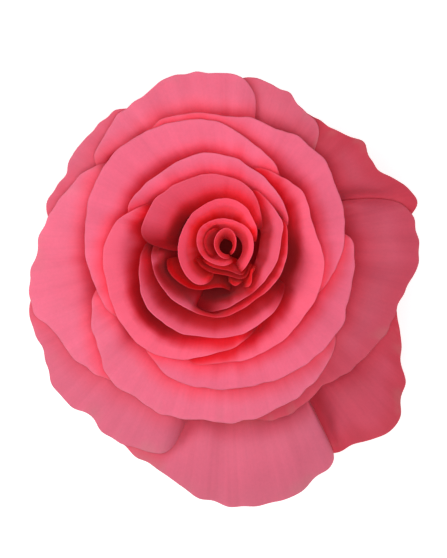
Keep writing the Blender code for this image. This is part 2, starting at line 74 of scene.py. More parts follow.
# Heights of the hip and the receptacle above the ground, and how the petals start on it
HIP_BOTTOM = 3.5
RECEPTACLE_HEIGHT = 16.0
RECEPTACLE_RADIUS = 7.0
CLAW_REACH = 7.35
CLAW_HALF_WIDTH = 26.0
CLAW_LEANS: Span = (48.0, 92.0)
HEART_CLAW_REACH = 15.0
HEART_CLAW_LEANS: Span = (4.0, 20.0)

# How far down a rim is painted in full shade, and how far out from the rims inside it a painted shade pocket
# opens
FULL_SINK = 5.0
SHADE_POCKET_OPENS: Span = (1.8, 4.2)

# A petal's own form, before its neighbours press on it
WIDEST_PART = 0.60
WIDENING = 1.1
LOWER_BEND = 1.25
DIVE_POWER = 1.5
ROLL_START = 0.84
ROLL_AT_ENDS = 0.2
ROLL_RUFFLE = 0.35
RUFFLE_POWER = 5
RAGGED_POWER = 6
FOLD_ZONE: Span = (0.35, 0.85)

# How many waves go round the bloom, for each kind of wave, and what their sum is divided by
RUFFLE_COUNTS = (5, 8, 13)
FOLD_COUNTS = (9, 17, 31)
RAGGED_COUNTS = (31, 47, 61)
WAVE_SUM = 1.8

# A sheet's grid, whose rows crowd towards the rim
FEWEST_CELLS = 14
ROW_LENGTH = 1.1
RIM_CROWDING = 1.2
RIM_SAMPLES = 2000

# Seeds of the large petals and the sepals, and how far apart the patterns of two petals lie
FIRST_LARGE_SEED = 100
FIRST_SEPAL_SEED = 40
PATTERN_STEP = 13.7

# Points of a turned profile that lie closer than this are one, and so are two ends of a seam
SEAM_GAP = 0.001

# Height of a petal's rim above the ground, by its distance from the axis
RIM_HEIGHTS: Curve = (
    (0.0, 57.5), (6.0, 59.5), (12.0, 61.5), (18.0, 61.8), (22.0, 60.8), (26.0, 59.2), (30.0, 57.0),
    (36.0, 53.0), (42.0, 48.5), (48.0, 43.0), (54.0, 37.0), (60.0, 32.0), (66.0, 29.0),
)


class Layer(Enum):
    """Where in the bloom a petal grows, which settles its form and finish."""

    HEART = "heart"
    INNER = "inner"
    MIDDLE = "middle"
    OUTER = "outer"
    GUARD = "guard"


@dataclass(frozen=True)
class LayerForm:
    """How the petals of a layer stand.

    The claw's outward bend fades over the bulge part of the length. From there the blade
    rises straight to its lip, which flares by a power. The dive is how far the rim's ends
    bend down, the spacing the room kept outside a petal, and the ragged value how far the
    rim strays in and out.
    """

    bulge_part: float
    lip: float
    flare: float
    dive: float
    spacing: float
    ragged: float


LAYER_FORMS = {
    Layer.HEART: LayerForm(bulge_part=0.55, lip=1.6, flare=1.6, dive=5.0, spacing=0.56, ragged=0.08),
    Layer.INNER: LayerForm(bulge_part=0.60, lip=4.5, flare=1.6, dive=7.0, spacing=0.60, ragged=0.16),
    Layer.MIDDLE: LayerForm(bulge_part=0.60, lip=7.5, flare=1.8, dive=7.0, spacing=0.60, ragged=0.26),
    Layer.OUTER: LayerForm(bulge_part=0.55, lip=11.0, flare=1.8, dive=5.0, spacing=0.42, ragged=0.42),
    Layer.GUARD: LayerForm(bulge_part=0.50, lip=15.0, flare=1.8, dive=4.5, spacing=0.40, ragged=0.50),
}


@dataclass(frozen=True)
class PetalForm:
    """One petal's shape.

    The claw is the azimuth that the petal grows at. Rims are (azimuth, distance from the
    axis), anticlockwise from +X. The dives are how many degrees at the first and the last
    end bend down behind the neighbours, and their depths are parts of the layer's full
    dive. The neck is the lean below the lip, as a part of the rim's. A lip of 0 takes the
    layer's. The roll is how far the rim curls over, the ruffle how far it waves up and
    down, and the fold how far the blade waves in and out. The blush is how red the petal
    is, and the sink how far down the rim lies between its neighbours. The sink and the
    dives also darken the petal's colour, as painted shade. A shade pocket is painted shade
    only, a patch where the colour darkens next to the rims inside the petal while its form
    stays the same: the azimuth of its middle, its half width in degrees and its depth from
    0 to 1.
    """

    claw: float
    dives: Span
    neck: float
    rim: Curve
    layer: Layer
    roll: float = 0.0
    ruffle: float = 0.0
    fold: float = 0.0
    dive_depths: Span = (1.0, 1.0)
    lip: float = 0.0
    blush: float = 0.0
    sink: float = 0.0
    # Shade pocket: painted shade only (azimuth of its middle, half width in degrees, depth from 0 to 1).
    shade_pocket: tuple[float, float, float] = (0.0, 1.0, 0.0)


HEART_PETALS = (
    PetalForm(110, (25, 25), 1.04, (
        (-68, 2.9), (-30, 2.5), (0, 2.4), (30, 2.7), (60, 3.3), (90, 3.7), (120, 3.3), (150, 2.9),
        (180, 2.8), (210, 2.8), (240, 3.2), (270, 3.5), (288, 3.4)),
        Layer.HEART, roll=0.1, lip=1.0),
    PetalForm(170, (18, 18), 0.94, (
        (112, 4.4), (135, 4.9), (150, 5.2), (177, 5.3), (207, 4.8), (228, 4.4)),
        Layer.HEART, roll=0.1, sink=3.5),
    PetalForm(130, (14, 16), 0.90, (
        (-64, 7.7), (-50, 7.3), (-38, 7.0), (-20, 6.8), (0, 6.6), (20, 6.6), (40, 6.3), (60, 5.9),
        (90, 6.0), (110, 6.3), (135, 6.9), (150, 7.2), (165, 7.2), (180, 7.0), (200, 6.6), (220, 6.1),
        (240, 5.6), (260, 5.4), (280, 5.0), (292, 4.6)),
        Layer.HEART, roll=0.3, lip=2.2),
    PetalForm(262, (14, 14), 0.96, (
        (214, 6.9), (240, 6.4), (265, 6.1), (290, 6.1), (312, 6.4)),
        Layer.HEART, roll=0.2, sink=2.2),
    PetalForm(262, (14, 14), 0.96, (
        (206, 8.2), (240, 7.7), (265, 7.3), (290, 7.3), (310, 7.6), (322, 7.8)),
        Layer.HEART, roll=0.2, sink=3.2),
    PetalForm(130, (20, 6), 0.89, (
        (4, 7.2), (20, 8.0), (30, 8.4), (40, 8.6), (50, 9.2), (60, 9.9), (70, 10.3), (80, 10.7),
        (100, 10.9), (120, 10.7), (130, 10.7), (137, 10.9), (144, 10.8), (160, 10.9), (180, 11.4),
        (190, 11.7), (200, 11.9), (211, 12.1), (225, 12.2), (235, 11.9), (242, 11.0), (246, 10.2),
        (249, 8.8)),
        Layer.HEART, roll=0.4, lip=2.8),
    PetalForm(286, (5, 5), 0.95, (
        (274, 9.0), (279, 10.0), (284, 10.3), (289, 9.8), (294, 8.8)),
        Layer.HEART, roll=0.2, sink=2.0),
    PetalForm(304, (6, 6), 0.95, (
        (292, 10.8), (298, 11.6), (303, 11.1), (309, 9.9), (316, 8.8), (322, 8.2)),
        Layer.HEART, roll=0.2, sink=1.0),
    PetalForm(230, (10, 10), 0.95, (
        (194, 14.6), (201, 15.2), (208, 15.2), (220, 14.5), (229, 13.9), (239, 12.9), (248, 11.7),
        (259, 10.6), (267, 10.6), (276, 11.4)),
        Layer.HEART, roll=0.3, sink=4.5),
)

LARGE_PETALS = (
    PetalForm(115, (18, 28), 0.86, (
        (24, 9.6), (34, 10.4), (43, 11.2), (51, 12.3), (59, 13.5), (65, 14.3), (72, 14.9), (80, 15.6),
        (91, 16.1), (99, 17.0), (112, 17.6), (125, 18.2), (133, 18.8), (140, 19.3), (146, 20.1),
        (151, 20.3), (157, 20.1), (163.5, 20.4), (169, 20.6), (174, 20.3), (178, 19.2), (181.5, 17.2),
        (185, 14.6), (188, 12.4)),
        Layer.INNER, roll=0.5, fold=0.15, dive_depths=(1.0, 1.3), lip=8.5, blush=0.25,
        shade_pocket=(160, 24, 1.0)),
    PetalForm(340, (40, 12), 0.93, (
        (-116, 16.6), (-107, 16.9), (-98, 16.3), (-90, 15.4), (-80, 14.4), (-70, 13.6), (-50, 12.9),
        (-30, 12.8), (-10, 12.9), (4, 13.2), (12, 13.8), (18, 14.4), (21, 14.5), (26, 14.3), (31, 14.2),
        (39, 14.2), (48, 14.3), (57, 14.3), (64, 13.8), (72, 13.0)),
        Layer.INNER, roll=0.4, fold=0.15, dive_depths=(1.2, 1.0), lip=5.5, shade_pocket=(-100, 30, 1.0)),
    PetalForm(275, (18, 12), 0.97, (
        (-184, 15.2), (-178, 16.3), (-172, 17.4), (-166, 18.1), (-158.5, 18.3), (-151, 18.6), (-141, 18.6),
        (-131, 18.4), (-123, 18.1), (-114.5, 17.9), (-105, 17.9), (-97, 17.7), (-88, 17.0), (-82, 16.4),
        (-73, 15.8), (-63, 15.3), (-51, 15.0), (-38, 15.0), (-26, 15.0), (-18, 15.0), (-6, 14.6), (4, 14.5),
        (14, 14.4), (24, 13.9), (32, 13.2)),
        Layer.INNER, roll=0.4, fold=0.15, dive_depths=(1.6, 1.0), lip=2.2, shade_pocket=(205, 32, 1.0)),
    PetalForm(240, (18, 26), 0.965, (
        (174, 16.8), (179, 18.6), (183, 19.6), (187, 20.5), (192, 21.2), (197, 21.8), (203, 22.5),
        (211, 23.6), (221, 24.2), (226, 24.3), (233, 24.2), (240, 24.1), (246, 23.8), (254, 22.9),
        (263, 22.6), (270, 22.5), (280, 22.0), (288, 21.2), (294, 20.6), (300, 20.2), (306, 19.8),
        (312, 19.3), (319, 18.4), (326, 17.0)),
        Layer.INNER, roll=0.6, fold=0.2, dive_depths=(1.6, 1.0), lip=2.6, shade_pocket=(235, 40, 0.5)),
    PetalForm(210, (14, 14), 0.90, (
        (146, 18.4), (151, 20.2), (154.3, 21.6), (157.8, 22.8), (160.5, 23.7), (163, 24.8), (166.7, 26.1),
        (171.4, 27.4), (178, 28.8), (185, 29.7), (192, 29.9), (206, 30.6), (216, 31.5), (224, 31.9),
        (233, 31.8), (242, 30.8), (251, 29.2), (258, 27.7), (266, 26.2), (275, 24.8), (279, 24.0),
        (284, 22.8), (292, 21.0)),
        Layer.INNER, roll=0.8, fold=0.2, lip=5.0, shade_pocket=(224, 24, 1.0)),
    PetalForm(90, (9, 12), 0.83, (
        (10, 13.2), (15, 14.0), (21, 14.9), (27.6, 15.7), (36.7, 16.6), (45, 17.3), (54, 18.0), (65, 18.6),
        (74, 19.2), (82.6, 20.6), (90, 21.2), (97, 21.9), (107, 22.5), (112.5, 22.6), (119, 22.8),
        (126, 23.0), (133, 23.2), (139, 23.7), (144, 23.7), (149, 23.6), (153, 23.4), (157, 23.1),
        (163, 22.2), (169, 21.0)),
        Layer.MIDDLE, roll=0.6, fold=0.2, lip=7.0),
    PetalForm(340, (12, 11), 0.88, (
        (-116, 25.8), (-108, 27.2), (-103, 27.9), (-99, 28.2), (-90, 28.2), (-82, 28.2), (-76, 27.9),
        (-70, 27.5), (-64, 27.2), (-60, 26.9), (-54, 26.3), (-49, 25.9), (-42, 25.4), (-36, 25.3),
        (-29.5, 25.3), (-23, 24.8), (-17.7, 24.4), (-10.5, 23.8), (-5.3, 23.3), (0.6, 22.3), (7.7, 21.6),
        (17.6, 21.4), (22, 21.5), (31.6, 22.0), (35.8, 22.2), (40, 21.7), (46, 21.2), (53, 20.7),
        (59, 20.4), (64.4, 19.9), (70, 18.9), (78, 17.2)),
        Layer.INNER, roll=0.8, fold=0.2, lip=7.0, shade_pocket=(-12, 24, 1.3)),
    PetalForm(135, (10, 12), 0.82, (
        (46, 19.4), (52, 20.8), (56.3, 21.7), (60.7, 22.6), (65, 23.3), (70.3, 24.2), (75.6, 25.1),
        (81, 26.2), (85.5, 27.4), (90.5, 28.7), (95, 29.5), (103, 30.5), (110, 31.5), (116, 32.2),
        (126, 33.2), (139, 34.4), (146, 34.6), (155, 34.8), (162, 34.7), (171, 34.1), (182, 33.8),
        (190, 33.5), (201, 32.9), (206, 32.6), (210, 32.1), (216, 30.8), (222, 29.2)),
        Layer.MIDDLE, roll=1.0, fold=0.25),
    PetalForm(50, (16, 10), 0.84, (
        (-36, 24.0), (-30, 24.9), (-25, 25.6), (-18, 26.3), (-10, 27.2), (-3, 27.9), (5, 28.5), (11, 29.1),
        (16.5, 29.5), (25.5, 29.6), (34.7, 30.4), (40.3, 31.1), (44.4, 30.9), (49, 30.8), (52.5, 31.2),
        (56.6, 31.3), (60, 30.8), (64.5, 30.1), (69.4, 30.0), (73.6, 30.5), (77, 30.8), (80, 30.8),
        (84, 30.4), (88, 30.2), (95, 30.2), (101, 30.7), (110.6, 31.8), (116.5, 32.3), (122, 32.0),
        (129, 31.0)),
        Layer.MIDDLE, roll=1.0, fold=0.25, lip=8.0),
    PetalForm(300, (15, 6), 0.84, (
        (-136, 29.6), (-129, 31.2), (-124.4, 32.3), (-120, 33.3), (-116.4, 34.0), (-112.7, 34.7),
        (-108, 35.1), (-93, 34.9), (-78, 34.6), (-63, 34.9), (-48, 34.4), (-42, 34.2), (-37, 34.2),
        (-34, 34.1), (-29, 32.9), (-18, 31.9), (-6, 30.8), (-1, 30.4), (2.5, 29.8), (4.5, 28.6),
        (6.5, 26.4), (9, 23.5)),
        Layer.MIDDLE, roll=1.0, fold=0.25),
    PetalForm(262, (9, 16), 0.82, (
        (195, 30.6), (198.5, 32.6), (201.5, 34.3), (204, 35.6), (206.6, 36.3), (209, 37.1), (217, 39.2),
        (223, 40.8), (228, 42.6), (233, 43.0), (236, 42.6), (241, 43.2), (249, 43.9), (254, 43.6),
        (260, 42.8), (268, 42.9), (277, 42.6), (283, 42.3), (290, 41.4), (295, 40.7), (300, 39.8),
        (305, 38.8), (312, 37.2), (316, 35.8), (319, 34.6), (323, 32.8), (328, 30.8)),
        Layer.OUTER, roll=1.2, ruffle=0.3, fold=0.54),
    PetalForm(190, (9, 13), 0.82, (
        (142, 32.4), (145.8, 34.4), (148.5, 36.3), (150, 37.1), (152, 37.8), (155, 38.7), (158, 39.5),
        (162, 40.7), (166, 42.0), (171, 43.4), (178.5, 44.9), (184, 45.7), (187.4, 47.6), (189.3, 47.6),
        (192, 48.6), (195, 49.1), (199.6, 49.3), (203, 47.9), (207.5, 46.6), (212, 46.1), (217.5, 45.8),
        (222.6, 44.2), (228, 43.0), (234, 41.4), (240, 39.4)),
        Layer.OUTER, roll=1.4, ruffle=0.4, fold=0.54),
    PetalForm(107, (9, 12), 0.82, (
        (77, 31.0), (77.8, 34.0), (78.8, 36.6), (80, 37.8), (81.4, 38.6), (84, 39.9), (88.6, 40.7),
        (93.5, 41.1), (99.5, 42.0), (106, 42.5), (110, 42.5), (114, 41.9), (119, 41.0), (125, 40.4),
        (129.5, 40.4), (134.8, 39.4), (141, 38.9), (145.6, 37.8), (148, 36.5), (151, 34.2), (154, 31.4)),
        Layer.OUTER, roll=1.4, ruffle=0.4, fold=0.54, dive_depths=(0.0, 0.4)),
    PetalForm(330, (10, 15), 0.82, (
        (-89, 39.4), (-83, 42.0), (-79, 43.3), (-76, 43.9), (-70, 43.8), (-65, 43.0), (-60, 42.0),
        (-56, 41.2), (-51, 41.7), (-46, 42.5), (-41, 43.1), (-35.5, 43.6), (-30, 44.2), (-26, 44.0),
        (-19, 44.0), (-13, 44.7), (-7.6, 46.3), (-3, 46.5), (2, 46.5), (6, 46.1), (9.5, 45.4), (11.8, 44.3),
        (13.7, 42.6), (15.2, 40.5), (16.8, 37.6), (18.4, 34.0), (20.5, 29.6)),
        Layer.GUARD, roll=1.4, ruffle=0.4, fold=0.54, dive_depths=(1.0, 0.0), blush=0.55),
    PetalForm(66, (7, 10), 0.82, (
        (45, 29.6), (47, 32.0), (49, 34.2), (51, 35.6), (53, 36.2), (57, 36.5), (63, 37.8), (68, 39.4),
        (73, 39.6), (77, 39.4), (81, 38.6), (86, 37.2), (92, 35.0)),
        Layer.GUARD, roll=1.2, ruffle=0.3, fold=0.54, dive_depths=(0.0, 0.3), blush=0.15),
    PetalForm(225, (9, 7), 0.82, (
        (189, 44.6), (194, 47.6), (198, 49.6), (202, 50.6), (206, 50.8), (211, 51.3), (215, 52.2),
        (218, 53.7), (221, 54.1), (225, 54.3), (227, 54.4), (230, 52.8), (232, 53.1), (235, 54.0),
        (241, 54.5), (247, 53.9), (251, 53.3), (253.6, 52.4), (255.2, 50.9), (255.9, 49.4), (256.4, 47.6),
        (257.2, 44.6), (258.2, 40.6)),
        Layer.GUARD, roll=1.2, ruffle=0.5, fold=0.63, dive_depths=(1.0, 0.0)),
    PetalForm(25, (7, 11), 0.82, (
        (5, 41.6), (8, 44.4), (10.5, 46.1), (12.4, 46.8), (14, 46.9), (16, 46.2), (18.5, 45.0),
        (20.6, 43.6), (24.7, 41.5), (30, 40.6), (34, 40.7), (37.5, 41.4), (41, 39.3), (46.6, 37.8),
        (50, 37.2), (53, 36.6), (58, 35.2), (64, 32.8)),
        Layer.GUARD, roll=1.2, ruffle=0.4, fold=0.63, dive_depths=(0.4, 0.1), blush=0.75, sink=0.4),
    PetalForm(148, (8, 9), 0.82, (
        (121, 37.6), (125, 39.6), (128, 40.8), (130.5, 41.5), (133, 41.6), (137, 41.9), (140, 42.2),
        (144, 42.2), (148.5, 42.6), (152, 42.8), (154.5, 42.2), (157, 41.8), (160, 42.3), (163, 43.3),
        (166, 43.7), (169, 43.2), (173, 41.8), (178, 39.6)),
        Layer.GUARD, roll=1.2, ruffle=0.4, fold=0.63),
    PetalForm(270, (9, 6), 0.84, (
        (235, 49.4), (239, 52.4), (243, 54.4), (247, 55.4), (250, 55.8), (253, 56.8), (256, 58.2),
        (259, 59.5), (262, 61.0), (264, 61.9), (267, 62.6), (271, 63.5), (275, 63.8), (280, 63.8),
        (284, 63.3), (288, 62.1), (293, 59.9), (295.6, 59.3), (296.9, 58.4), (297.4, 56.6), (297.6, 53.6),
        (297.8, 49.6), (298.1, 43.6)),
        Layer.GUARD, roll=1.0, ruffle=0.5, fold=0.72, dive_depths=(1.0, 0.0)),
    PetalForm(320, (8, 9), 0.84, (
        (-73, 49.6), (-69, 53.4), (-66, 55.3), (-63.5, 56.2), (-61.5, 56.5), (-59, 56.9), (-56.9, 57.8),
        (-53, 59.1), (-49.8, 60.0), (-46, 60.3), (-44, 59.0), (-42.5, 57.2), (-40, 55.9), (-38, 54.9),
        (-34.3, 51.1), (-29.4, 48.3), (-26.6, 46.7), (-23, 44.6), (-18.5, 42.2), (-13, 39.0)),
        Layer.GUARD, roll=1.0, ruffle=0.5, fold=0.72, dive_depths=(0.4, 1.0), blush=0.75, sink=0.5),
)


def curve_through(points: Curve, x: np.ndarray) -> np.ndarray:
    """Read a smooth curve through given points.

    Args:
        points: The (x, y) points, x rising.
        x: Where to read it.

    Returns:
        The curve's y at each x.
    """
    xs, ys = np.array(points, dtype=float).T
    slopes = np.gradient(ys, xs)
    x = np.clip(x, xs[0], xs[-1])
    index = np.clip(np.searchsorted(xs, x) - 1, 0, len(xs) - 2)
    width = xs[index + 1] - xs[index]
    s = (x - xs[index]) / width
    rise = s * s * (3.0 - 2.0 * s)
    bend = s * (1.0 - s) * width * ((1.0 - s) * slopes[index] - s * slopes[index + 1])
    return ys[index] * (1.0 - rise) + ys[index + 1] * rise + bend


def smooth_step(x: np.ndarray, low: float, high: float) -> np.ndarray:
    """0 below low, 1 above high, with an eased rise between."""
    s = np.clip((x - low) / (high - low), 0.0, 1.0)
    return s * s * (3.0 - 2.0 * s)


def between(span: Span, number: int, count: int) -> float:
    """The value for one of a number of things that are spread evenly over a span."""
    return span[0] + (span[1] - span[0]) * (number / (count - 1))


def blurred(grid: np.ndarray) -> np.ndarray:
    """A grid of numbers with each one drawn towards its four neighbours."""
    wide = np.pad(grid, 1, mode="edge")
    return 0.5 * grid + 0.125 * (wide[:-2, 1:-1] + wide[2:, 1:-1] + wide[1:-1, :-2] + wide[1:-1, 2:])


def refined(points: np.ndarray, parts: int) -> np.ndarray:
    """Split each cell of a grid of points along both sides.

    Args:
        points: The grid.
        parts: How many parts a side is split into.

    Returns:
        The finer grid.
    """
    for axis in (0, 1):
        points = np.moveaxis(points, axis, 0)
        split = [points[:-1] * (1.0 - k / parts) + points[1:] * (k / parts) for k in range(parts)]
        stacked = np.stack(split, axis=1).reshape(-1, *points.shape[1:])
        points = np.moveaxis(np.concatenate([stacked, points[-1:]]), 0, axis)
    return points


def waves(random: np.random.Generator, angle: np.ndarray, counts: tuple[int, ...],
          fading: float) -> np.ndarray:
    """Add up waves round the bloom, each with a random start.

    Args:
        random: Where the starts come from.
        angle: Azimuth of each point, in radians.
        counts: How many of each wave go round.
        fading: How much lower the shorter waves are, as a power of their count.

    Returns:
        The sum at each point.
    """
    starts = [random.uniform(0.0, FULL_TURN) for _ in counts]
    return sum((counts[0] / count) ** fading * np.sin(count * angle + start)
               for count, start in zip(counts, starts))


def to_points(reach: np.ndarray, lean: np.ndarray, azimuth: np.ndarray) -> np.ndarray:
    """Points about the receptacle's middle, from reach, lean and azimuth in radians."""
    out = reach * np.sin(lean)
    return np.stack([out * np.cos(azimuth), out * np.sin(azimuth), reach * np.cos(lean)], axis=-1)


def to_polar(points: np.ndarray) -> tuple[np.ndarray, np.ndarray, np.ndarray]:
    """Read points about the receptacle's middle.

    Args:
        points: The points.

    Returns:
        Their reach, and their lean and azimuth in radians.
    """
    out = np.hypot(points[..., 0], points[..., 1])
    reach = np.hypot(out, points[..., 2])
    return reach, np.arctan2(out, points[..., 2]), np.arctan2(points[..., 1], points[..., 0])


@dataclass
class Bed:
    """How far out the bloom is already filled, by reach and azimuth."""

    reach_step: float = 0.5
    reach_count: int = 150
    azimuth_step: float = 2.0
    smallest_facing: float = 0.6
    settling_passes: int = 2
    settling_rounds: int = 14
    claim_parts: int = 4
    taken: np.ndarray = field(init=False)

    def __post_init__(self) -> None:
        """Start with nothing laid."""
        self.taken = np.zeros((self.reach_count, round(360.0 / self.azimuth_step)))

    def lean_at(self, reach: np.ndarray, azimuth: np.ndarray) -> np.ndarray:
        """Read the lean that is already taken up, between the map's points.

        Args:
            reach: Reach of each point.
            azimuth: Its azimuth in radians.

        Returns:
            The lean there.
        """
        row = np.clip(reach / self.reach_step, 0.0, self.reach_count - 1.001)
        column = (np.degrees(azimuth) / self.azimuth_step) % self.taken.shape[1]
        low_row = np.floor(row).astype(int)
        low_column = np.floor(column).astype(int) % self.taken.shape[1]
        high_column = (low_column + 1) % self.taken.shape[1]
        up = row - low_row
        on = column - np.floor(column)
        near = self.taken[low_row, low_column] * (1.0 - on) + self.taken[low_row, high_column] * on
        far = self.taken[low_row + 1, low_column] * (1.0 - on) + self.taken[low_row + 1, high_column] * on
        return near * (1.0 - up) + far * up

    def settle(self, points: np.ndarray) -> np.ndarray:
        """Lean a sheet out until it is clear of what is already laid.

        Args:
            points: The sheet's grid of points about the receptacle's middle.

        Returns:
            The same grid, moved.
        """
        for _ in range(self.settling_passes):
            reach, lean, azimuth = to_polar(points)
            need = np.maximum(self.lean_at(reach, azimuth) - lean, 0.0)
            push = need
            for _ in range(self.settling_rounds):
                push = np.maximum(blurred(push), need)
            points = to_points(reach, lean + blurred(push), azimuth)
        return points

    def claim(self, points: np.ndarray, spacing: float) -> None:
        """Mark the room that a sheet and the space outside it take up.

        Args:
            points: The sheet's grid of points about the receptacle's middle.
            spacing: Distance from this sheet to the middle of the next.
        """
        points = refined(points, self.claim_parts)
        reach, lean, azimuth = to_polar(points)
        normal = np.cross(np.gradient(points, axis=0), np.gradient(points, axis=1))
        normal /= np.maximum(np.linalg.norm(normal, axis=-1, keepdims=True), 1e-9)
        outward = np.stack([np.cos(lean) * np.cos(azimuth), np.cos(lean) * np.sin(azimuth), -np.sin(lean)],
                           axis=-1)
        facing = np.maximum(np.abs(np.sum(normal * outward, axis=-1)), self.smallest_facing)
        room = lean + spacing / (reach * facing)
        rows = np.clip((reach / self.reach_step).round().astype(int), 1, self.reach_count - 2)
        turns = (np.degrees(azimuth) / self.azimuth_step).round().astype(int)
        for row_shift in (-1, 0, 1):
            for turn_shift in (-1, 0, 1):
                spot = (rows + row_shift, (turns + turn_shift) % self.taken.shape[1])
                np.maximum.at(self.taken, spot, room)


@dataclass
class Outline:
    """How far out the petals laid so far reach, seen from above."""

    turns: int = 360
    softening_rounds: int = 6
    rim_parts: int = 6
    distance: np.ndarray = field(init=False)

    def __post_init__(self) -> None:
        """Start with nothing laid."""
        self.distance = np.zeros(self.turns)

    def at(self, azimuth: np.ndarray) -> np.ndarray:
        """Read the softened outline.

        Args:
            azimuth: Where to read it, in radians.

        Returns:
            Its distance from the axis.
        """
        place = (np.degrees(azimuth) * self.turns / 360.0) % self.turns
        soft = self.distance
        for _ in range(self.softening_rounds):
            soft = 0.5 * soft + 0.25 * (np.roll(soft, 1) + np.roll(soft, -1))
        return np.interp(place, np.arange(self.turns + 1), np.append(soft, soft[0]))

    def add(self, rim: np.ndarray) -> None:
        """Take in one more rim.

        Args:
            rim: A row of points.
        """
        fine = refined(rim[:, None, :].repeat(2, axis=1), self.rim_parts)[:, 0]
        turn = (np.degrees(np.arctan2(fine[:, 1], fine[:, 0])) * self.turns / 360.0).round().astype(int)
        np.maximum.at(self.distance, turn % self.turns, np.hypot(fine[:, 0], fine[:, 1]))


@dataclass
class Sheet:
    """A petal's middle surface, worked out on a fine grid."""

    form: PetalForm
    claw_lean: float
    claw_reach: float
    seed: int
    cell: float = 1.5
    points: np.ndarray = field(init=False)
    across: np.ndarray = field(init=False)
    rim_gap: np.ndarray = field(init=False)
    uncovered: np.ndarray = field(init=False)
    lowering_and_shade: np.ndarray = field(init=False)

    def __post_init__(self) -> None:
        """Shape the sheet as it would grow with nothing in its way."""
        rim_azimuth, steps = self.rim_stations()
        rim_distance = curve_through(self.form.rim, rim_azimuth)
        rise = curve_through(RIM_HEIGHTS, rim_distance) - RECEPTACLE_HEIGHT
        length = float(np.hypot(rim_distance, rise).max()) - self.claw_reach
        rows = max(FEWEST_CELLS, math.ceil(length / self.cell / ROW_LENGTH))
        along = 1.0 - (1.0 - np.linspace(0.0, 1.0, rows + 1)) ** RIM_CROWDING
        azimuth_grid, along_grid = np.meshgrid(rim_azimuth, along, indexing="ij")
        self.points = self.grown(azimuth_grid, along_grid, length)
        self.across = np.repeat(steps[:, None], rows + 1, axis=1)
        self.rim_gap = (1.0 - along_grid) * length

    def rim_stations(self) -> tuple[np.ndarray, np.ndarray]:
        """Divide the rim evenly.

        Returns:
            The azimuth of each column at the rim, and the length of rim up to it.
        """
        fine = np.linspace(self.form.rim[0][0], self.form.rim[-1][0], RIM_SAMPLES)
        distance = curve_through(self.form.rim, fine)
        x = distance * np.cos(np.radians(fine))
        y = distance * np.sin(np.radians(fine))
        run = np.concatenate([[0.0], np.cumsum(np.hypot(np.diff(x), np.diff(y)))])
        columns = max(FEWEST_CELLS, math.ceil(run[-1] / self.cell))
        steps = np.linspace(0.0, run[-1], columns + 1)
        return np.interp(steps, run, fine), steps

    def grown(self, rim_azimuth: np.ndarray, along: np.ndarray, length: float) -> np.ndarray:
        """Work out the sheet's points and how far down its rim goes.

        Args:
            rim_azimuth: Azimuth of the column at the rim, in degrees.
            along: 0 at the claw, 1 at the rim.
            length: The petal's greatest length.

        Returns:
            Points about the receptacle's middle.
        """
        form = self.form
        layer = LAYER_FORMS[form.layer]
        first, last = form.rim[0][0], form.rim[-1][0]
        open_azimuth = np.clip(rim_azimuth, first + form.dives[0], last - form.dives[1])
        first_dive = np.clip(1.0 - (rim_azimuth - first) / form.dives[0], 0.0, 1.0) ** DIVE_POWER
        last_dive = np.clip(1.0 - (last - rim_azimuth) / form.dives[1], 0.0, 1.0) ** DIVE_POWER
        dive = np.maximum(form.dive_depths[0] * first_dive, form.dive_depths[1] * last_dive)
        # How far the rim goes down; the colour darkens with it too, as painted shade.
        self.lowering_and_shade = layer.dive * dive + form.sink
        open_height = curve_through(RIM_HEIGHTS, curve_through(form.rim, open_azimuth))
        rim_rise = open_height - RECEPTACLE_HEIGHT - self.lowering_and_shade
        rim_distance = curve_through(form.rim, rim_azimuth)
        rim_reach = np.hypot(rim_distance, rim_rise)
        rim_lean = np.arctan2(rim_distance, rim_rise)
        reach = self.claw_reach + (rim_reach - self.claw_reach) * along

        middle = form.claw - 360.0 if form.claw > last else form.claw
        claw_share = CLAW_HALF_WIDTH / max(last - middle, middle - first, CLAW_HALF_WIDTH)
        share = claw_share + (1.0 - claw_share) * np.clip(along / WIDEST_PART, 0.0, 1.0) ** WIDENING
        azimuth = np.radians(middle + (rim_azimuth - middle) * share)

        neck_lean = rim_lean * form.neck
        lip_part = (form.lip or layer.lip) / length
        below = np.clip(1.0 - along / layer.bulge_part, 0.0, 1.0) ** LOWER_BEND
        above = np.clip(1.0 - (1.0 - along) / lip_part, 0.0, 1.0) ** layer.flare
        lean = neck_lean + (math.radians(self.claw_lean) - neck_lean) * below + (rim_lean - neck_lean) * above
        return self.waved(to_points(reach, lean, azimuth), rim_azimuth, along)

    def waved(self, points: np.ndarray, rim_azimuth: np.ndarray, along: np.ndarray) -> np.ndarray:
        """Roll the rim over, and give the blade its gentle folds.

        Args:
            points: The plain sheet.
            rim_azimuth: Azimuth of each column at the rim, in degrees.
            along: 0 at the claw, 1 at the rim.

        Returns:
            The sheet with its waves.
        """
        form = self.form
        random = np.random.default_rng(self.seed)
        angle = np.radians(rim_azimuth)
        ruffle = waves(random, angle, RUFFLE_COUNTS, 0.5) / WAVE_SUM
        fold = waves(random, angle, FOLD_COUNTS, 0.5) / WAVE_SUM
        ragged = waves(random, angle, RAGGED_COUNTS, 0.0) / len(RAGGED_COUNTS)
        first, last = form.rim[0][0], form.rim[-1][0]
        from_end = np.minimum((rim_azimuth - first) / form.dives[0], (last - rim_azimuth) / form.dives[1])
        rolled = form.roll * (ROLL_AT_ENDS + (1.0 - ROLL_AT_ENDS) * np.clip(from_end, 0.0, 1.0))
        rolled = rolled * smooth_step(along, ROLL_START, 1.0) ** 2
        outward = ragged * LAYER_FORMS[form.layer].ragged * along ** RAGGED_POWER
        points[..., 0] += outward * np.cos(angle)
        points[..., 1] += outward * np.sin(angle)
        points[..., 2] += ruffle * form.ruffle * along ** RUFFLE_POWER - rolled * (1.0 + ROLL_RUFFLE * ruffle)
        reach, lean, azimuth = to_polar(points)
        lean = lean + fold * form.fold / reach * smooth_step(along, *FOLD_ZONE)
        return to_points(reach, lean, azimuth)

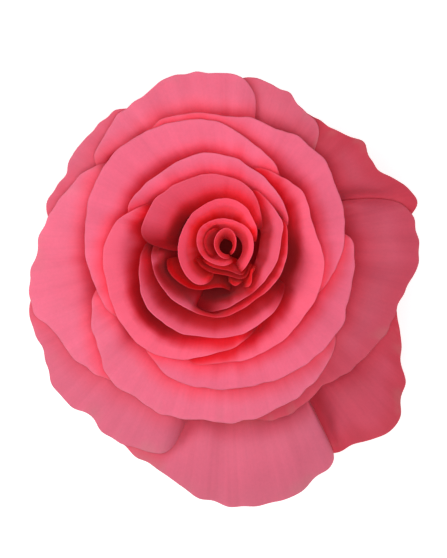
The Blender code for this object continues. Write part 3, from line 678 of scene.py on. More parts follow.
    def lay(self, bed: Bed, outline: Outline) -> None:
        """Settle the sheet, mark its room and note how far it is uncovered and how much painted shade its
        colour gets.

        Args:
            bed: What it is laid on.
            outline: How far out the sheets before it reach.
        """
        self.points = bed.settle(self.points)
        bed.claim(self.points, LAYER_FORMS[self.form.layer].spacing)
        _, _, azimuth = to_polar(self.points)
        self.uncovered = np.hypot(self.points[..., 0], self.points[..., 1]) - outline.at(azimuth)
        # Shade pocket: painted shade only, added next to the rims inside the petal; the points stay put.
        middle, half_width, depth = self.form.shade_pocket
        aside = (np.degrees(azimuth) - middle + 180.0) % 360.0 - 180.0
        inside = 1.0 - smooth_step(self.uncovered, *SHADE_POCKET_OPENS)
        self.lowering_and_shade = self.lowering_and_shade + FULL_SINK * depth * inside * np.exp(-(aside / half_width) ** 2)
        outline.add(self.points[:, -1])


def math_operator(operation: str, swapped: bool = False) -> Callable[["Socket", "Socket | float"], "Socket"]:
    """Make one of Python's operators add a Math node.

    Args:
        operation: The node's operation.
        swapped: Whether the socket comes second, as in 1.0 - mask.

    Returns:
        The operator.
    """
    def apply(this: "Socket", other: "Socket | float") -> "Socket":
        """Add the node."""
        first, second = (other, this) if swapped else (this, other)
        return this.graph.math(operation, first, second)

    return apply


@dataclass(frozen=True)
class Socket:
    """A node's output that Python's operators can work on."""

    graph: "Graph"
    output: bpy.types.NodeSocket

    __add__ = math_operator("ADD")
    __radd__ = math_operator("ADD", swapped=True)
    __sub__ = math_operator("SUBTRACT")
    __rsub__ = math_operator("SUBTRACT", swapped=True)
    __mul__ = math_operator("MULTIPLY")
    __rmul__ = math_operator("MULTIPLY", swapped=True)


class Graph:
    """A material's nodes, built from Python expressions."""

    def __init__(self, name: str) -> None:
        """Start a material with its surface shader.

        Args:
            name: The material's name.
        """
        self.material = bpy.data.materials.new(name)
        self.material.use_nodes = True
        self.tree = self.material.node_tree
        self.surface = self.tree.nodes["Principled BSDF"]

    def node(self, kind: str, settings: dict | None = None, inputs: dict | None = None,
             output: int | str = 0) -> Socket:
        """Add one node.

        Args:
            kind: The node's type.
            settings: Its own settings.
            inputs: Values or links for its sockets, by name or number.
            output: Which output to return.

        Returns:
            That output.
        """
        made = self.tree.nodes.new(kind)
        for name, value in (settings or {}).items():
            setattr(made, name, value)
        for key, value in (inputs or {}).items():
            self.feed(made.inputs[key], value)
        return Socket(self, made.outputs[output])

    def feed(self, target: bpy.types.NodeSocket, value: "Socket | float | tuple") -> None:
        """Link a socket, or set its value.

        Args:
            target: The socket.
            value: What it gets.
        """
        if isinstance(value, Socket):
            self.tree.links.new(value.output, target)
        elif isinstance(value, tuple) and len(value) == 3 and target.type == "RGBA":
            target.default_value = (*value, 1.0)
        else:
            target.default_value = value

    def math(self, operation: str, first: "Socket | float", second: "Socket | float" = 0.0) -> Socket:
        """One Math node."""
        return self.node("ShaderNodeMath", {"operation": operation}, {0: first, 1: second})

    def eased(self, value: Socket, low: float, high: float) -> Socket:
        """0 below low, 1 above high, with an eased rise between."""
        settings = {"interpolation_type": "SMOOTHSTEP"}
        return self.node("ShaderNodeMapRange", settings, {"Value": value, "From Min": low, "From Max": high})

    def mix(self, share: "Socket | float", first: "Socket | Colour", second: "Socket | Colour") -> Socket:
        """Mix two colours."""
        return self.node("ShaderNodeMix", {"data_type": "RGBA"}, {0: share, 6: first, 7: second}, output=2)

    def scaled(self, colour: Socket, amount: Socket) -> Socket:
        """A colour made lighter or darker by a number."""
        return self.node("ShaderNodeVectorMath", {"operation": "SCALE"}, {0: colour, "Scale": amount})

    def vector(self, x: "Socket | float", y: "Socket | float", z: "Socket | float") -> Socket:
        """A vector from three numbers."""
        return self.node("ShaderNodeCombineXYZ", None, {0: x, 1: y, 2: z})

    def noise(self, place: Socket, scale: float, detail: float = 2.0, roughness: float = 0.5) -> Socket:
        """Smooth noise from 0 to 1."""
        inputs = {"Vector": place, "Scale": scale, "Detail": detail, "Roughness": roughness}
        return self.node("ShaderNodeTexNoise", None, inputs, output="Fac")

    def parts(self, vector: Socket) -> list[Socket]:
        """A vector's three numbers."""
        split = self.node("ShaderNodeSeparateXYZ", None, {0: vector}).output.node
        return [Socket(self, output) for output in split.outputs]

    def attribute(self, name: str) -> Socket:
        """A vector that the piece's points carry."""
        return self.node("ShaderNodeAttribute", {"attribute_name": name}, output="Vector")

    def place(self) -> Socket:
        """Object coordinates."""
        return self.node("ShaderNodeTexCoord", output="Object")

    def finish(self, colour: "Socket | Colour", roughness: float, height: Socket | None = None,
               bump: float = 0.2, depth: float = 0.0002, light: Socket | None = None,
               **fixed: float | tuple) -> bpy.types.Material:
        """Link the surface shader.

        Args:
            colour: The surface's colour.
            roughness: Its roughness.
            height: Relief from 0 to 1, if any.
            bump: Strength of the relief.
            depth: Its depth in metres.
            light: Colour of the light that shows through, if any.
            fixed: Plain values of other sockets, by name with underscores for spaces.

        Returns:
            The finished material.
        """
        self.feed(self.surface.inputs["Base Color"], colour)
        self.feed(self.surface.inputs["Roughness"], roughness)
        for name, value in fixed.items():
            self.surface.inputs[name.replace("_", " ")].default_value = value
        if height is not None:
            inputs = {"Height": height, "Strength": bump, "Distance": depth}
            self.feed(self.surface.inputs["Normal"], self.node("ShaderNodeBump", None, inputs))
        # Painted light: the surface glows by itself.
        if light is not None:
            self.feed(self.surface.inputs["Emission Color"], light)
            self.surface.inputs["Emission Strength"].default_value = 1.0
            self.material.cycles.emission_sampling = "NONE"
        return self.material


@dataclass(frozen=True)
class Streaks:
    """A pattern drawn out along a petal: changes per millimetre across and along it."""

    across: float
    along: float
    shift: float
    detail: float
    roughness: float = 0.5

    def on(self, graph: Graph, sheet: list[Socket]) -> Socket:
        """Draw the pattern.

        Args:
            graph: The material.
            sheet: The place across the petal, the distance from its rim and its seed.

        Returns:
            The pattern, from 0 to 1.
        """
        across, rim_gap, seed = sheet
        place = graph.vector(across * self.across, rim_gap * self.along, seed + self.shift)
        return graph.noise(place, 1.0, self.detail, self.roughness)


@dataclass(frozen=True)
class PetalFinish:
    """Soft petal skin with fine veins, in painted crimson shade where the inner petals cover it.

    The colour opens from the painted shade to the body over a distance out from the rims
    that cover it, and turns to the claw's far down the petal. The shadow is how far painted
    shade darkens the colour where the rim is sunk, dived or in a shade pocket. The rim colour
    is a painted highlight, and the fold shading is painted light and shade along the folds.
    The glow is painted light, standing in for light that comes through the petal, as a share
    of its colour where it is in the painted shade and where it is open.
    """

    name: str
    # Painted crimson shade next to the rims that cover the petal.
    deep_shade: Colour
    body: Colour
    # Painted highlight along the rim.
    rim: Colour
    claw: Colour
    opens: Span
    rim_width: float = 1.4
    rim_highlight_share: float = 0.15
    weathering: float = 0.0
    weathered: Colour = (0.50, 0.25, 0.24)
    blush: Colour = (0.86, 0.035, 0.065)
    translucency: float = 0.08
    shadow: float = 0.45
    # Painted light: the glow's share of the colour, in the painted shade and where open.
    glow: Span = (0.0, 0.0)
    roughness: float = 0.58
    veining: float = 0.10
    mottling: float = 0.16
    # Painted light and shade along the folds.
    fold_shading: float = 0.18
    graining: float = 0.08
    claw_gap: Span = (14.0, 36.0)
    blush_gap: Span = (0.5, 5.5)
    blush_below: float = 0.65
    weathered_gap: Span = (0.2, 3.5)
    weathered_spots: Span = (0.52, 0.68)
    vein_streaks: Streaks = Streaks(across=1.1, along=0.05, shift=0.0, detail=3.0, roughness=0.6)
    fold_streaks: Streaks = Streaks(across=0.22, along=0.03, shift=7.0, detail=1.0)
    blotches: Streaks = Streaks(across=0.16, along=0.14, shift=3.0, detail=2.0)

    def make(self) -> bpy.types.Material:
        """Build the material.

        Returns:
            The material.
        """
        graph = Graph(self.name)
        sheet = graph.parts(graph.attribute("sheet"))
        rim_gap = sheet[1]
        uncovered, blush, sink_shade = graph.parts(graph.attribute("shade"))
        place = graph.place()
        veins = self.vein_streaks.on(graph, sheet)
        folds = self.fold_streaks.on(graph, sheet)
        mottle = graph.noise(place, 90.0, 3.0, 0.55)
        grain = graph.noise(place, 1600.0, 1.0)

        # Painted shade: crimson next to the rims that cover the petal and where the rim is sunk, opening to
        # the body colour further out.
        opened = graph.eased(uncovered + (folds - 0.5) * 3.0, *self.opens)
        colour = graph.mix(opened * (1.0 - sink_shade), self.deep_shade, self.body)
        colour = graph.mix(graph.eased(rim_gap, *self.claw_gap), colour, self.claw)
        # Painted highlight: a paler band along the rim.
        edge = 1.0 - graph.eased(rim_gap + veins * 0.5, 0.0, self.rim_width)
        colour = graph.mix(edge * self.rim_highlight_share, colour, self.rim)
        reddened = 1.0 - graph.eased(rim_gap + (folds - 0.5) * 4.0, *self.blush_gap)
        blush_share = self.blush_below + reddened * (1.0 - self.blush_below)
        colour = graph.mix(blush_share * blush, colour, self.blush)
        if self.weathering > 0.0:
            near_rim = 1.0 - graph.eased(rim_gap, *self.weathered_gap)
            spots = graph.eased(self.blotches.on(graph, sheet), *self.weathered_spots)
            colour = graph.mix(near_rim * spots * self.weathering, colour, self.weathered)
        # Veins, mottle and grain are the petal's own tone; the fold term is painted light and shade along the
        # folds.
        tone = 1.0 + (veins - 0.5) * self.veining + (mottle - 0.5) * self.mottling
        tone = tone + (folds - 0.5) * self.fold_shading + (grain - 0.5) * self.graining
        # Painted shade: darker where the rim is sunk, dived or in a shade pocket.
        colour = graph.scaled(colour, tone * (1.0 - sink_shade * self.shadow))
        height = veins * 0.45 + grain * 0.12 + folds * 0.5
        # Painted light: a glow in the petal's own colour, standing in for light that comes through it.
        light = graph.scaled(colour, self.glow[0] + opened * (self.glow[1] - self.glow[0]))
        return graph.finish(colour, self.roughness, height, bump=0.30, depth=0.0003, light=light,
                            Subsurface_Weight=self.translucency, Subsurface_Radius=(1.0, 0.12, 0.10),
                            Subsurface_Scale=0.0015, Specular_IOR_Level=0.15, Sheen_Weight=0.05,
                            Sheen_Roughness=0.5)


@dataclass(frozen=True)
class LeafFinish:
    """Green leaf skin with a paler midrib."""

    name: str
    leaf: Colour = (0.11, 0.24, 0.05)
    rib: Colour = (0.25, 0.40, 0.13)
    edge: Colour = (0.22, 0.13, 0.06)
    rib_width: Span = (0.15, 0.75)
    rib_share: float = 0.7
    edge_share: float = 0.25

    def make(self) -> bpy.types.Material:
        """Build the material.

        Returns:
            The material.
        """
        graph = Graph(self.name)
        across, along, _ = graph.parts(graph.attribute("sheet"))
        off_middle = graph.math("ABSOLUTE", across)
        rib = 1.0 - graph.eased(off_middle, *self.rib_width)
        mottle = graph.noise(graph.place(), 260.0, 3.0, 0.6)
        slanted = graph.vector(off_middle * 0.6, along * 0.9 - off_middle * 0.6, 0.0)
        side_veins = graph.noise(slanted, 1.3, 1.0)
        colour = graph.mix(rib * self.rib_share, self.leaf, self.rib)
        colour = graph.mix(graph.eased(mottle, 0.55, 0.75) * self.edge_share, colour, self.edge)
        colour = graph.scaled(colour, 0.82 + mottle * 0.36 + (side_veins - 0.5) * 0.25)
        return graph.finish(colour, 0.58, side_veins * 0.6 + mottle * 0.4, bump=0.35, depth=0.0003)


@dataclass(frozen=True)
class WaxyFinish:
    """Smooth green skin of a hip or stem, red where it reaches up between the petals."""

    name: str
    skin: Colour
    blush: Colour
    blush_share: float = 0.35
    crown: Colour = (0.55, 0.03, 0.05)
    crown_height: float = 0.014
    crown_fade: float = 0.002

    def make(self) -> bpy.types.Material:
        """Build the material.

        Returns:
            The material.
        """
        graph = Graph(self.name)
        x, y, z = graph.parts(graph.place())
        streaks = graph.noise(graph.vector(x, y, z * 0.18), 900.0)
        cloud = graph.noise(graph.place(), 220.0)
        colour = graph.mix(graph.eased(cloud, 0.45, 0.7) * self.blush_share, self.skin, self.blush)
        crowned = graph.eased(z, self.crown_height, self.crown_height + self.crown_fade)
        colour = graph.mix(crowned, colour, self.crown)
        return graph.finish(graph.scaled(colour, 0.8 + streaks * 0.4), 0.42, streaks)


@dataclass(frozen=True)
class PlainFinish:
    """One even colour that may shine by itself."""

    name: str
    colour: Colour
    roughness: float = 0.9
    glow: float = 0.0

    def make(self) -> bpy.types.Material:
        """Build the material."""
        return Graph(self.name).finish(self.colour, self.roughness, Specular_IOR_Level=0.1,
                                       Emission_Color=(1.0, 1.0, 1.0, 1.0), Emission_Strength=self.glow)


# Painted shade in each finish: the first colour, for the crevices, and for the heart and inner petals the
# claw colour too. The rim colour is a painted highlight and the glow painted light.
PETAL_FINISHES = {
    Layer.HEART: PetalFinish(
        "heart petal", deep_shade=(0.92, 0.001, 0.004), body=(0.98, 0.085, 0.150), rim=(0.98, 0.13, 0.20),
        claw=(0.96, 0.001, 0.004), opens=(0.4, 3.6), rim_width=1.0, glow=(0.055, 0.085)),
    Layer.INNER: PetalFinish(
        "inner petal", deep_shade=(0.80, 0.013, 0.027), body=(0.94, 0.122, 0.208), rim=(0.95, 0.17, 0.26),
        claw=(0.80, 0.013, 0.027), opens=(0.7, 4.8), rim_width=1.2, shadow=0.52, glow=(0.065, 0.045)),
    Layer.MIDDLE: PetalFinish(
        "middle petal", deep_shade=(0.97, 0.052, 0.095), body=(0.92, 0.145, 0.248), rim=(0.93, 0.21, 0.31),
        claw=(0.93, 0.20, 0.20), opens=(-1.5, 4.5), shadow=0.30, glow=(0.035, 0.0)),
    Layer.OUTER: PetalFinish(
        "outer petal", deep_shade=(0.93, 0.072, 0.125), body=(0.91, 0.160, 0.262), rim=(0.92, 0.25, 0.34),
        claw=(0.90, 0.36, 0.32), opens=(-1.5, 5.0), weathering=0.10, veining=0.11, shadow=0.20,
        glow=(0.03, 0.0)),
    Layer.GUARD: PetalFinish(
        "guard petal", deep_shade=(0.78, 0.090, 0.148), body=(0.76, 0.144, 0.230), rim=(0.78, 0.21, 0.28),
        claw=(0.78, 0.40, 0.32), opens=(-2.0, 6.0), weathering=0.20, blush=(0.64, 0.032, 0.058),
        translucency=0.05, veining=0.12, shadow=0.20),
}
# The core's top is the floor of the hole at the heart, painted near-black red as shade.
CORE_SHADE_RED = (0.20, 0.001, 0.002)
CORE_FINISH = PetalFinish("heart core shade", CORE_SHADE_RED, CORE_SHADE_RED, CORE_SHADE_RED, CORE_SHADE_RED, opens=(0.4, 3.6))


@cache
def skin_of(layer: Layer) -> bpy.types.Material:
    """The material of a layer, made once."""
    return PETAL_FINISHES[layer].make()


def finished_mesh(bm: bmesh.types.BMesh, name: str) -> bpy.types.Mesh:
    """Turn a bmesh into a mesh.

    Args:
        bm: The bmesh, which is freed.
        name: The mesh's name.

    Returns:
        The mesh.
    """
    mesh = bpy.data.meshes.new(name)
    bm.to_mesh(mesh)
    bm.free()
    return mesh


def link_piece(mesh: bpy.types.Mesh, material: bpy.types.Material, node: str) -> bpy.types.Object:
    """Put a mesh in the scene as a piece of the part, under the mesh's name.

    Args:
        mesh: The piece's mesh, in place.
        material: Its finish.
        node: The CAD node that it replaces.

    Returns:
        The new object.
    """
    mesh.materials.append(material)
    mesh.shade_smooth()
    piece = bpy.data.objects.new(mesh.name, mesh)
    bpy.context.scene.collection.objects.link(piece)
    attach(piece, "root")
    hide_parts(node)
    return piece


def grid_mesh(bm: bmesh.types.BMesh, points: np.ndarray) -> None:
    """Add a grid to a mesh and move its points into place.

    Args:
        bm: The mesh that it goes into.
        points: Columns by rows of points, in metres.
    """
    columns, rows = points.shape[0] - 1, points.shape[1] - 1
    made = bmesh.ops.create_grid(bm, x_segments=columns, y_segments=rows, size=0.5)
    for vertex in made["verts"]:
        column = round((vertex.co.x + 0.5) * columns)
        row = round((vertex.co.y + 0.5) * rows)
        vertex.co = points[column, row]


def per_point(*values: np.ndarray | float) -> np.ndarray:
    """Rows of numbers, one for each of a grid's points in the order of its vertices."""
    return np.stack([grid.T.ravel() for grid in np.broadcast_arrays(*values)], axis=-1)


def carry(mesh: bpy.types.Mesh, name: str, values: np.ndarray) -> None:
    """Let each point of a mesh carry three numbers for its material."""
    carried = mesh.attributes.new(name, "FLOAT_VECTOR", "POINT")
    carried.data.foreach_set("vector", values.astype(np.float32).ravel())


def turned(profile: list[Span], segments: int) -> bmesh.types.BMesh:
    """Turn a profile once round the vertical axis.

    Args:
        profile: Its points as (distance from the axis, height).
        segments: How many steps the turn has.

    Returns:
        A closed bmesh with its faces outwards.
    """
    bm = bmesh.new()
    corners = [bm.verts.new((distance, 0.0, height)) for distance, height in profile]
    edges = [bm.edges.new(pair) for pair in zip(corners, corners[1:])]
    bmesh.ops.spin(bm, geom=corners + edges, cent=(0.0, 0.0, 0.0), axis=(0.0, 0.0, 1.0),
                   angle=FULL_TURN, steps=segments, use_merge=True)
    bmesh.ops.remove_doubles(bm, verts=bm.verts[:], dist=SEAM_GAP)
    bmesh.ops.recalc_face_normals(bm, faces=bm.faces[:])
    return bm


def give_wall(piece: bpy.types.Object, thickness: float, thinning: str = "") -> None:
    """Give a sheet its wall and round it.

    Args:
        piece: The sheet's object.
        thickness: The full wall.
        thinning: The vertex group that says where the wall is thinner, if any.
    """
    wall = piece.modifiers.new("Wall", "SOLIDIFY")
    wall.thickness = thickness * MM
    wall.offset = 0.0
    wall.vertex_group = thinning
    smooth = piece.modifiers.new("Smooth", "SUBSURF")
    smooth.levels = 1
    smooth.render_levels = 1


@dataclass
class Flower:
    """Where the flower stands in the part's frame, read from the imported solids."""

    axis_x: float = field(init=False)
    axis_y: float = field(init=False)
    lift: float = field(init=False)

    def __post_init__(self) -> None:
        """Read the axis and the ground from the hip."""
        low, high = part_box("hip")
        self.axis_x = (low.x + high.x) / 2.0
        self.axis_y = (low.y + high.y) / 2.0
        self.lift = low.z - HIP_BOTTOM * MM

    def from_ground(self, points: np.ndarray, height: float = 0.0) -> np.ndarray:
        """Points in metres in the part's frame, from points about the axis at a height."""
        return points * MM + np.array([self.axis_x, self.axis_y, self.lift + height * MM])

    def from_receptacle(self, points: np.ndarray) -> np.ndarray:
        """Points in metres in the part's frame, from points about the receptacle's middle."""
        return self.from_ground(points, RECEPTACLE_HEIGHT)


@dataclass
class PetalMaker:
    """Turns sheets into petals with a thin, rounded wall."""

    flower: Flower
    thickness: float = 0.32
    rim_thinness: float = 0.60
    thin_width: float = 3.0

    def build(self, name: str, sheets: list[Sheet], node: str, slot: str) -> None:
        """Make one piece from one or more sheets of a layer.

        Args:
            name: The piece's name.
            sheets: The sheets in it.
            node: The CAD node that it replaces.
            slot: The record's material slot; not used.
        """
        bm = bmesh.new()
        pattern = []
        shade = []
        for sheet in sheets:
            grid_mesh(bm, self.flower.from_receptacle(sheet.points))
            pattern.append(per_point(sheet.across, sheet.rim_gap, PATTERN_STEP * sheet.seed))
            # Painted shade: share of full shade from the rim's sink, its dives and any shade pocket.
            sink_shade = np.minimum(sheet.lowering_and_shade / FULL_SINK, 1.0)
            shade.append(per_point(sheet.uncovered, sheet.form.blush, sink_shade))
        bmesh.ops.recalc_face_normals(bm, faces=bm.faces[:])
        mesh = finished_mesh(bm, name)
        carry(mesh, "sheet", np.concatenate(pattern))
        carry(mesh, "shade", np.concatenate(shade))
        piece = link_piece(mesh, skin_of(sheets[0].form.layer), node)
        full = piece.vertex_groups.new(name="thickness")
        rim_gap = np.concatenate(pattern)[:, 1]
        weights = 1.0 - self.rim_thinness * (1.0 - smooth_step(rim_gap, 0.0, self.thin_width))
        for index, weight in enumerate(weights):
            full.add([index], float(weight), "REPLACE")
        give_wall(piece, self.thickness, full.name)


@dataclass
class Heart:
    """The small rolled petals at the middle and the core that they stand on."""

    maker: PetalMaker
    bed: Bed
    outline: Outline
    cell: float = 0.8
    core_radius: float = 6.2
    core_top: float = 20.0
    core_crown: float = 3.0
    crown_points: int = 8
    core_shoulder: float = 13.0
    core_foot: float = 7.6
    core_foot_radius: float = 4.9
    core_segments: int = 48
    claim_step: float = 3.0
    claim_rows: int = 20

    def build(self) -> None:
        """Lay the heart's petals and make its two pieces."""
        sheets = []
        for number, form in enumerate(HEART_PETALS):
            claw_lean = between(HEART_CLAW_LEANS, number, len(HEART_PETALS))
            sheets.append(Sheet(form, claw_lean, HEART_CLAW_REACH, number, self.cell))
            sheets[-1].lay(self.bed, self.outline)
        self.maker.build("heart_petals", sheets, "heart", "heart_petal")
        LOG.info("heart_petals: %d small petals", len(sheets))
        self.build_core()
        self.claim_core()

    def side(self) -> list[Span]:
        """The core's straight side as (distance, height) about the receptacle's middle."""
        return [(self.core_radius, self.core_top - self.core_crown), (self.core_radius, self.core_shoulder),
                (self.core_foot_radius, self.core_foot)]

    def build_core(self) -> None:
        """Turn the core's profile round the axis."""
        shoulder = self.core_top - self.core_crown
        crown = [(self.core_radius * math.sin(angle), shoulder + self.core_crown * math.cos(angle))
                 for angle in np.radians(np.linspace(0.0, 90.0, self.crown_points))]
        bm = turned(crown + self.side()[1:] + [(0.0, self.core_foot)], self.core_segments)
        for vertex in bm.verts:
            vertex.co = self.maker.flower.from_receptacle(np.array(vertex.co))
        link_piece(finished_mesh(bm, "heart_core"), CORE_FINISH.make(), "heart")
        LOG.info("heart_core: turned")

    def claim_core(self) -> None:
        """Keep the large petals outside the core."""
        turns = np.radians(np.arange(0.0, 360.0 + self.claim_step, self.claim_step))
        side = np.array(self.side())
        steps = np.linspace(0.0, 1.0, self.claim_rows)[:, None]
        line = np.concatenate([a * (1.0 - steps) + b * steps for a, b in zip(side, side[1:])])
        ring = np.stack([np.outer(np.cos(turns), line[:, 0]), np.outer(np.sin(turns), line[:, 0]),
                         np.broadcast_to(line[:, 1], (len(turns), len(line)))], axis=-1)
        self.bed.claim(ring, LAYER_FORMS[Layer.HEART].spacing)


@dataclass
class Corolla:
    """The twenty large petals, from the inside out."""

    maker: PetalMaker
    bed: Bed
    outline: Outline

    def build(self) -> None:
        """Lay and make each petal."""
        for number, form in enumerate(LARGE_PETALS):
            claw_lean = between(CLAW_LEANS, number, len(LARGE_PETALS))
            sheet = Sheet(form, claw_lean, CLAW_REACH, FIRST_LARGE_SEED + number)
            sheet.lay(self.bed, self.outline)
            self.maker.build(f"blade_{number + 1:02d}", [sheet], f"petal_{number + 1:02d}", "petal")
            LOG.info("blade_%02d: %s petal, %d by %d", number + 1, form.layer.value, *sheet.points.shape[:2])


@dataclass
class Hip:
    """The green hip under the petals, with the dome that they grow from."""

    flower: Flower
    segments: int = 72
    radius: float = 5.6
    ribs: int = 5
    rib_depth: float = 0.10
    dome_lean: float = 95.0
    dome_points: int = 12
    sides: Curve = ((5.9, 12.6), (4.9, 11.2), (5.1, 10.2), (5.5, 9.2), (5.6, 8.2), (5.55, 7.2), (5.1, 6.2),
                  (4.3, 5.1), (3.5, 4.2), (2.95, HIP_BOTTOM), (0.0, HIP_BOTTOM))

    def build(self) -> None:
        """Turn the profile and swell it into faint ribs."""
        dome = [(RECEPTACLE_RADIUS * math.sin(lean), RECEPTACLE_HEIGHT + RECEPTACLE_RADIUS * math.cos(lean))
                for lean in np.radians(np.linspace(0.0, self.dome_lean, self.dome_points))]
        bm = turned(dome + list(self.sides), self.segments)
        for vertex in bm.verts:
            x, y, z = vertex.co
            swell = 1.0 - self.rib_depth / self.radius * (1.0 - math.cos(self.ribs * math.atan2(y, x)))
            vertex.co = self.flower.from_ground(np.array([x * swell, y * swell, z]))
        skin = WaxyFinish("hip skin", skin=(0.13, 0.27, 0.06), blush=(0.30, 0.22, 0.08))
        link_piece(finished_mesh(bm, "rose_hip"), skin.make(), "hip")
        LOG.info("rose_hip: turned")


@dataclass
class StemEnd:
    """The short end of stem under the hip, cut square."""

    flower: Flower
    radius: float = 2.6
    taper: float = 0.98
    height: float = 3.2
    cut_bevel: float = 0.18
    segments: int = 48

    def build(self) -> None:
        """Make the stem and its bevelled cut."""
        bm = bmesh.new()
        bmesh.ops.create_cone(bm, cap_ends=True, segments=self.segments, radius1=self.radius,
                              radius2=self.radius * self.taper, depth=self.height)
        rings = [edge for edge in bm.edges if abs(edge.verts[0].co.z - edge.verts[1].co.z) < 0.01]
        bmesh.ops.bevel(bm, geom=rings, offset=self.cut_bevel, segments=2, profile=0.5, affect="EDGES",
                        material=-1)
        bmesh.ops.recalc_face_normals(bm, faces=bm.faces[:])
        for vertex in bm.verts:
            vertex.co = self.flower.from_ground(np.array(vertex.co), self.height / 2.0)
        skin = WaxyFinish("stem skin", skin=(0.17, 0.30, 0.08), blush=(0.33, 0.24, 0.10), blush_share=0.25)
        link_piece(finished_mesh(bm, "stem_end"), skin.make(), "stem")
        LOG.info("stem_end: cut")


@dataclass
class Calyx:
    """Five sepals bent out and down under the flower, standing on their tips.

    The stations steer the midrib, as (distance from the axis, height above the ground). The
    width adds up a root, a belly and a shoulder, as parts of the half width. The groove runs
    along the midrib.
    """

    flower: Flower
    count: int = 5
    first_azimuth: float = 18.0
    thickness: float = 0.7
    half_width: float = 4.2
    root: float = 0.10
    belly: float = 0.66
    belly_power: float = 0.7
    shoulder: float = 0.36
    edge_wave: float = 0.05
    edge_turns: float = 34.0
    cup: float = 0.10
    groove: float = 0.25
    groove_sharpness: float = 6.0
    twist: float = 0.22
    twist_turns: float = 9.0
    length: float = 24.0
    columns: int = 16
    rows: int = 46
    stations: Curve = ((6.4, 9.6), (15.0, 11.6), (24.0, 8.0), (29.4, 0.42))

    def build(self) -> None:
        """Make the five sepals."""
        skin = LeafFinish("sepal leaf").make()
        side, along = np.meshgrid(np.linspace(-1.0, 1.0, self.columns + 1),
                                  np.linspace(0.0, 1.0, self.rows + 1), indexing="ij")
        for number in range(self.count):
            self.build_sepal(number, side, along, skin)

    def build_sepal(self, number: int, side: np.ndarray, along: np.ndarray, skin: bpy.types.Material) -> None:
        """Make one sepal: its width, its cupped and wavy surface, and its wall.

        Args:
            number: Its number, from 0.
            side: -1 and 1 at its edges, 0 on the midrib.
            along: 0 at the root, 1 at the tip.
            skin: Its finish.
        """
        bezier = ((1.0 - along) ** 3, 3.0 * along * (1.0 - along) ** 2, 3.0 * along ** 2 * (1.0 - along),
                  along ** 3)
        distance, height = (sum(weight * station[axis] for weight, station in zip(bezier, self.stations))
                            for axis in (0, 1))
        random = np.random.default_rng(FIRST_SEPAL_SEED + number)
        edge_phase, twist_phase = random.uniform(0.0, FULL_TURN, 2)
        azimuth = math.radians(self.first_azimuth + number * 360.0 / self.count)
        inner = np.sin(np.pi * along)
        width = self.root + self.belly * np.sin(np.pi * along ** self.belly_power)
        width = self.half_width * (width + self.shoulder * (1.0 - along) ** 2)
        width = width * (1.0 + self.edge_wave * np.sin(self.edge_turns * along + edge_phase) * inner)
        sideways = side * width
        grooved = self.groove * np.exp(-(side * self.groove_sharpness) ** 2) * (1.0 - along)
        cupped = self.cup * width * side ** 2 * inner - grooved
        twisted = self.twist * side * np.sin(self.twist_turns * along + twist_phase) * inner
        points = np.stack([distance * math.cos(azimuth) - sideways * math.sin(azimuth),
                           distance * math.sin(azimuth) + sideways * math.cos(azimuth),
                           height + cupped + twisted], axis=-1)
        bm = bmesh.new()
        grid_mesh(bm, self.flower.from_ground(points))
        bmesh.ops.recalc_face_normals(bm, faces=bm.faces[:])
        mesh = finished_mesh(bm, f"sepal_leaf_{number + 1}")
        carry(mesh, "sheet", per_point(sideways, self.length * along, number + 1.0))
        piece = link_piece(mesh, skin, f"sepal_{number + 1}")
        give_wall(piece, self.thickness)
        LOG.info("%s: bent back", piece.name)


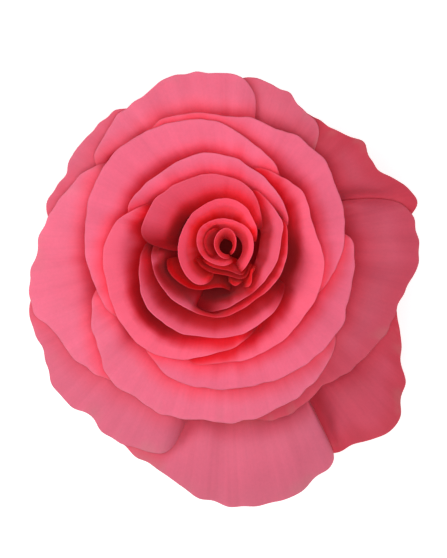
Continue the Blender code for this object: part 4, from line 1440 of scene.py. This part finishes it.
@dataclass
class Studio:
    """Floor, lights and the camera that looks straight down."""

    flower: Flower
    mm_per_pixel: float = 0.24
    frame_pixels: tuple[int, int] = (447, 558)
    axis_pixel: Span = (226.0, 244.0)
    camera_height: float = 2.0
    sharp_height: float = 0.048
    aim_height: float = 0.03
    floor_size: float = 6.0
    air_strength: float = 0.27

    def build(self) -> None:
        """Make everything round the flower."""
        self.build_floor()
        self.build_lights()
        self.build_camera()

    def build_floor(self) -> None:
        """A plain white floor."""
        bm = bmesh.new()
        bmesh.ops.create_grid(bm, x_segments=1, y_segments=1, size=self.floor_size / 2.0)
        mesh = finished_mesh(bm, "floor")
        mesh.materials.append(PlainFinish("floor white", (0.94, 0.94, 0.94), glow=0.52).make())
        floor = bpy.data.objects.new("floor", mesh)
        bpy.context.scene.collection.objects.link(floor)

    def add_area(self, name: str, place: Place, size: float, watts: float) -> None:
        """Add a square soft light aimed at the flower.

        Args:
            name: Its name.
            place: Where it stands, in metres.
            size: Length of its side.
            watts: Its power.
        """
        light = bpy.data.lights.new(name, "AREA")
        light.shape = "SQUARE"
        light.size = size
        light.energy = watts
        lamp = bpy.data.objects.new(name, light)
        lamp.location = place
        aim = np.array([self.flower.axis_x, self.flower.axis_y, self.aim_height]) - np.array(place)
        turn = math.atan2(aim[1], aim[0]) - math.pi / 2.0
        tilt = math.atan2(math.hypot(aim[0], aim[1]), -aim[2])
        lamp.rotation_euler = (tilt, 0.0, turn)
        bpy.context.scene.collection.objects.link(lamp)

    def build_lights(self) -> None:
        """A soft key from the left, a wide light from above and a weak fill all round."""
        self.add_area("key", (-0.60, 0.12, 0.50), size=0.45, watts=2.2)
        self.add_area("top", (0.06, -0.14, 0.94), size=0.60, watts=4.5)
        world = bpy.data.worlds.new("studio air")
        world.use_nodes = True
        air = world.node_tree.nodes["Background"]
        air.inputs["Color"].default_value = (1.0, 1.0, 1.0, 1.0)
        air.inputs["Strength"].default_value = self.air_strength
        bpy.context.scene.world = world

    def build_camera(self) -> None:
        """A long lens straight above, framed as the photograph is."""
        scale = self.mm_per_pixel * MM
        across = (self.frame_pixels[0] / 2.0 - self.axis_pixel[0]) * scale
        up = (self.axis_pixel[1] - self.frame_pixels[1] / 2.0) * scale
        data = bpy.data.cameras.new("camera")
        data.sensor_width = 36.0
        data.sensor_fit = "AUTO"
        distance = self.camera_height - self.sharp_height
        data.lens = data.sensor_width * distance / (self.frame_pixels[1] * scale)
        data.clip_start = 0.1
        data.clip_end = 20.0
        camera = bpy.data.objects.new("camera", data)
        camera.location = (self.flower.axis_x + across, self.flower.axis_y + up, self.camera_height)
        bpy.context.scene.collection.objects.link(camera)
        bpy.context.scene.camera = camera
        bpy.context.scene.view_settings.view_transform = "Standard"


def main() -> None:
    """Dress the rose and set up the studio."""
    logging.basicConfig(level=logging.INFO, format="%(message)s")
    flower = Flower()
    maker = PetalMaker(flower)
    bed = Bed()
    outline = Outline()
    Heart(maker, bed, outline).build()
    Corolla(maker, bed, outline).build()
    Hip(flower).build()
    StemEnd(flower).build()
    Calyx(flower).build()
    Studio(flower).build()


if __name__ == "__main__":
    main()
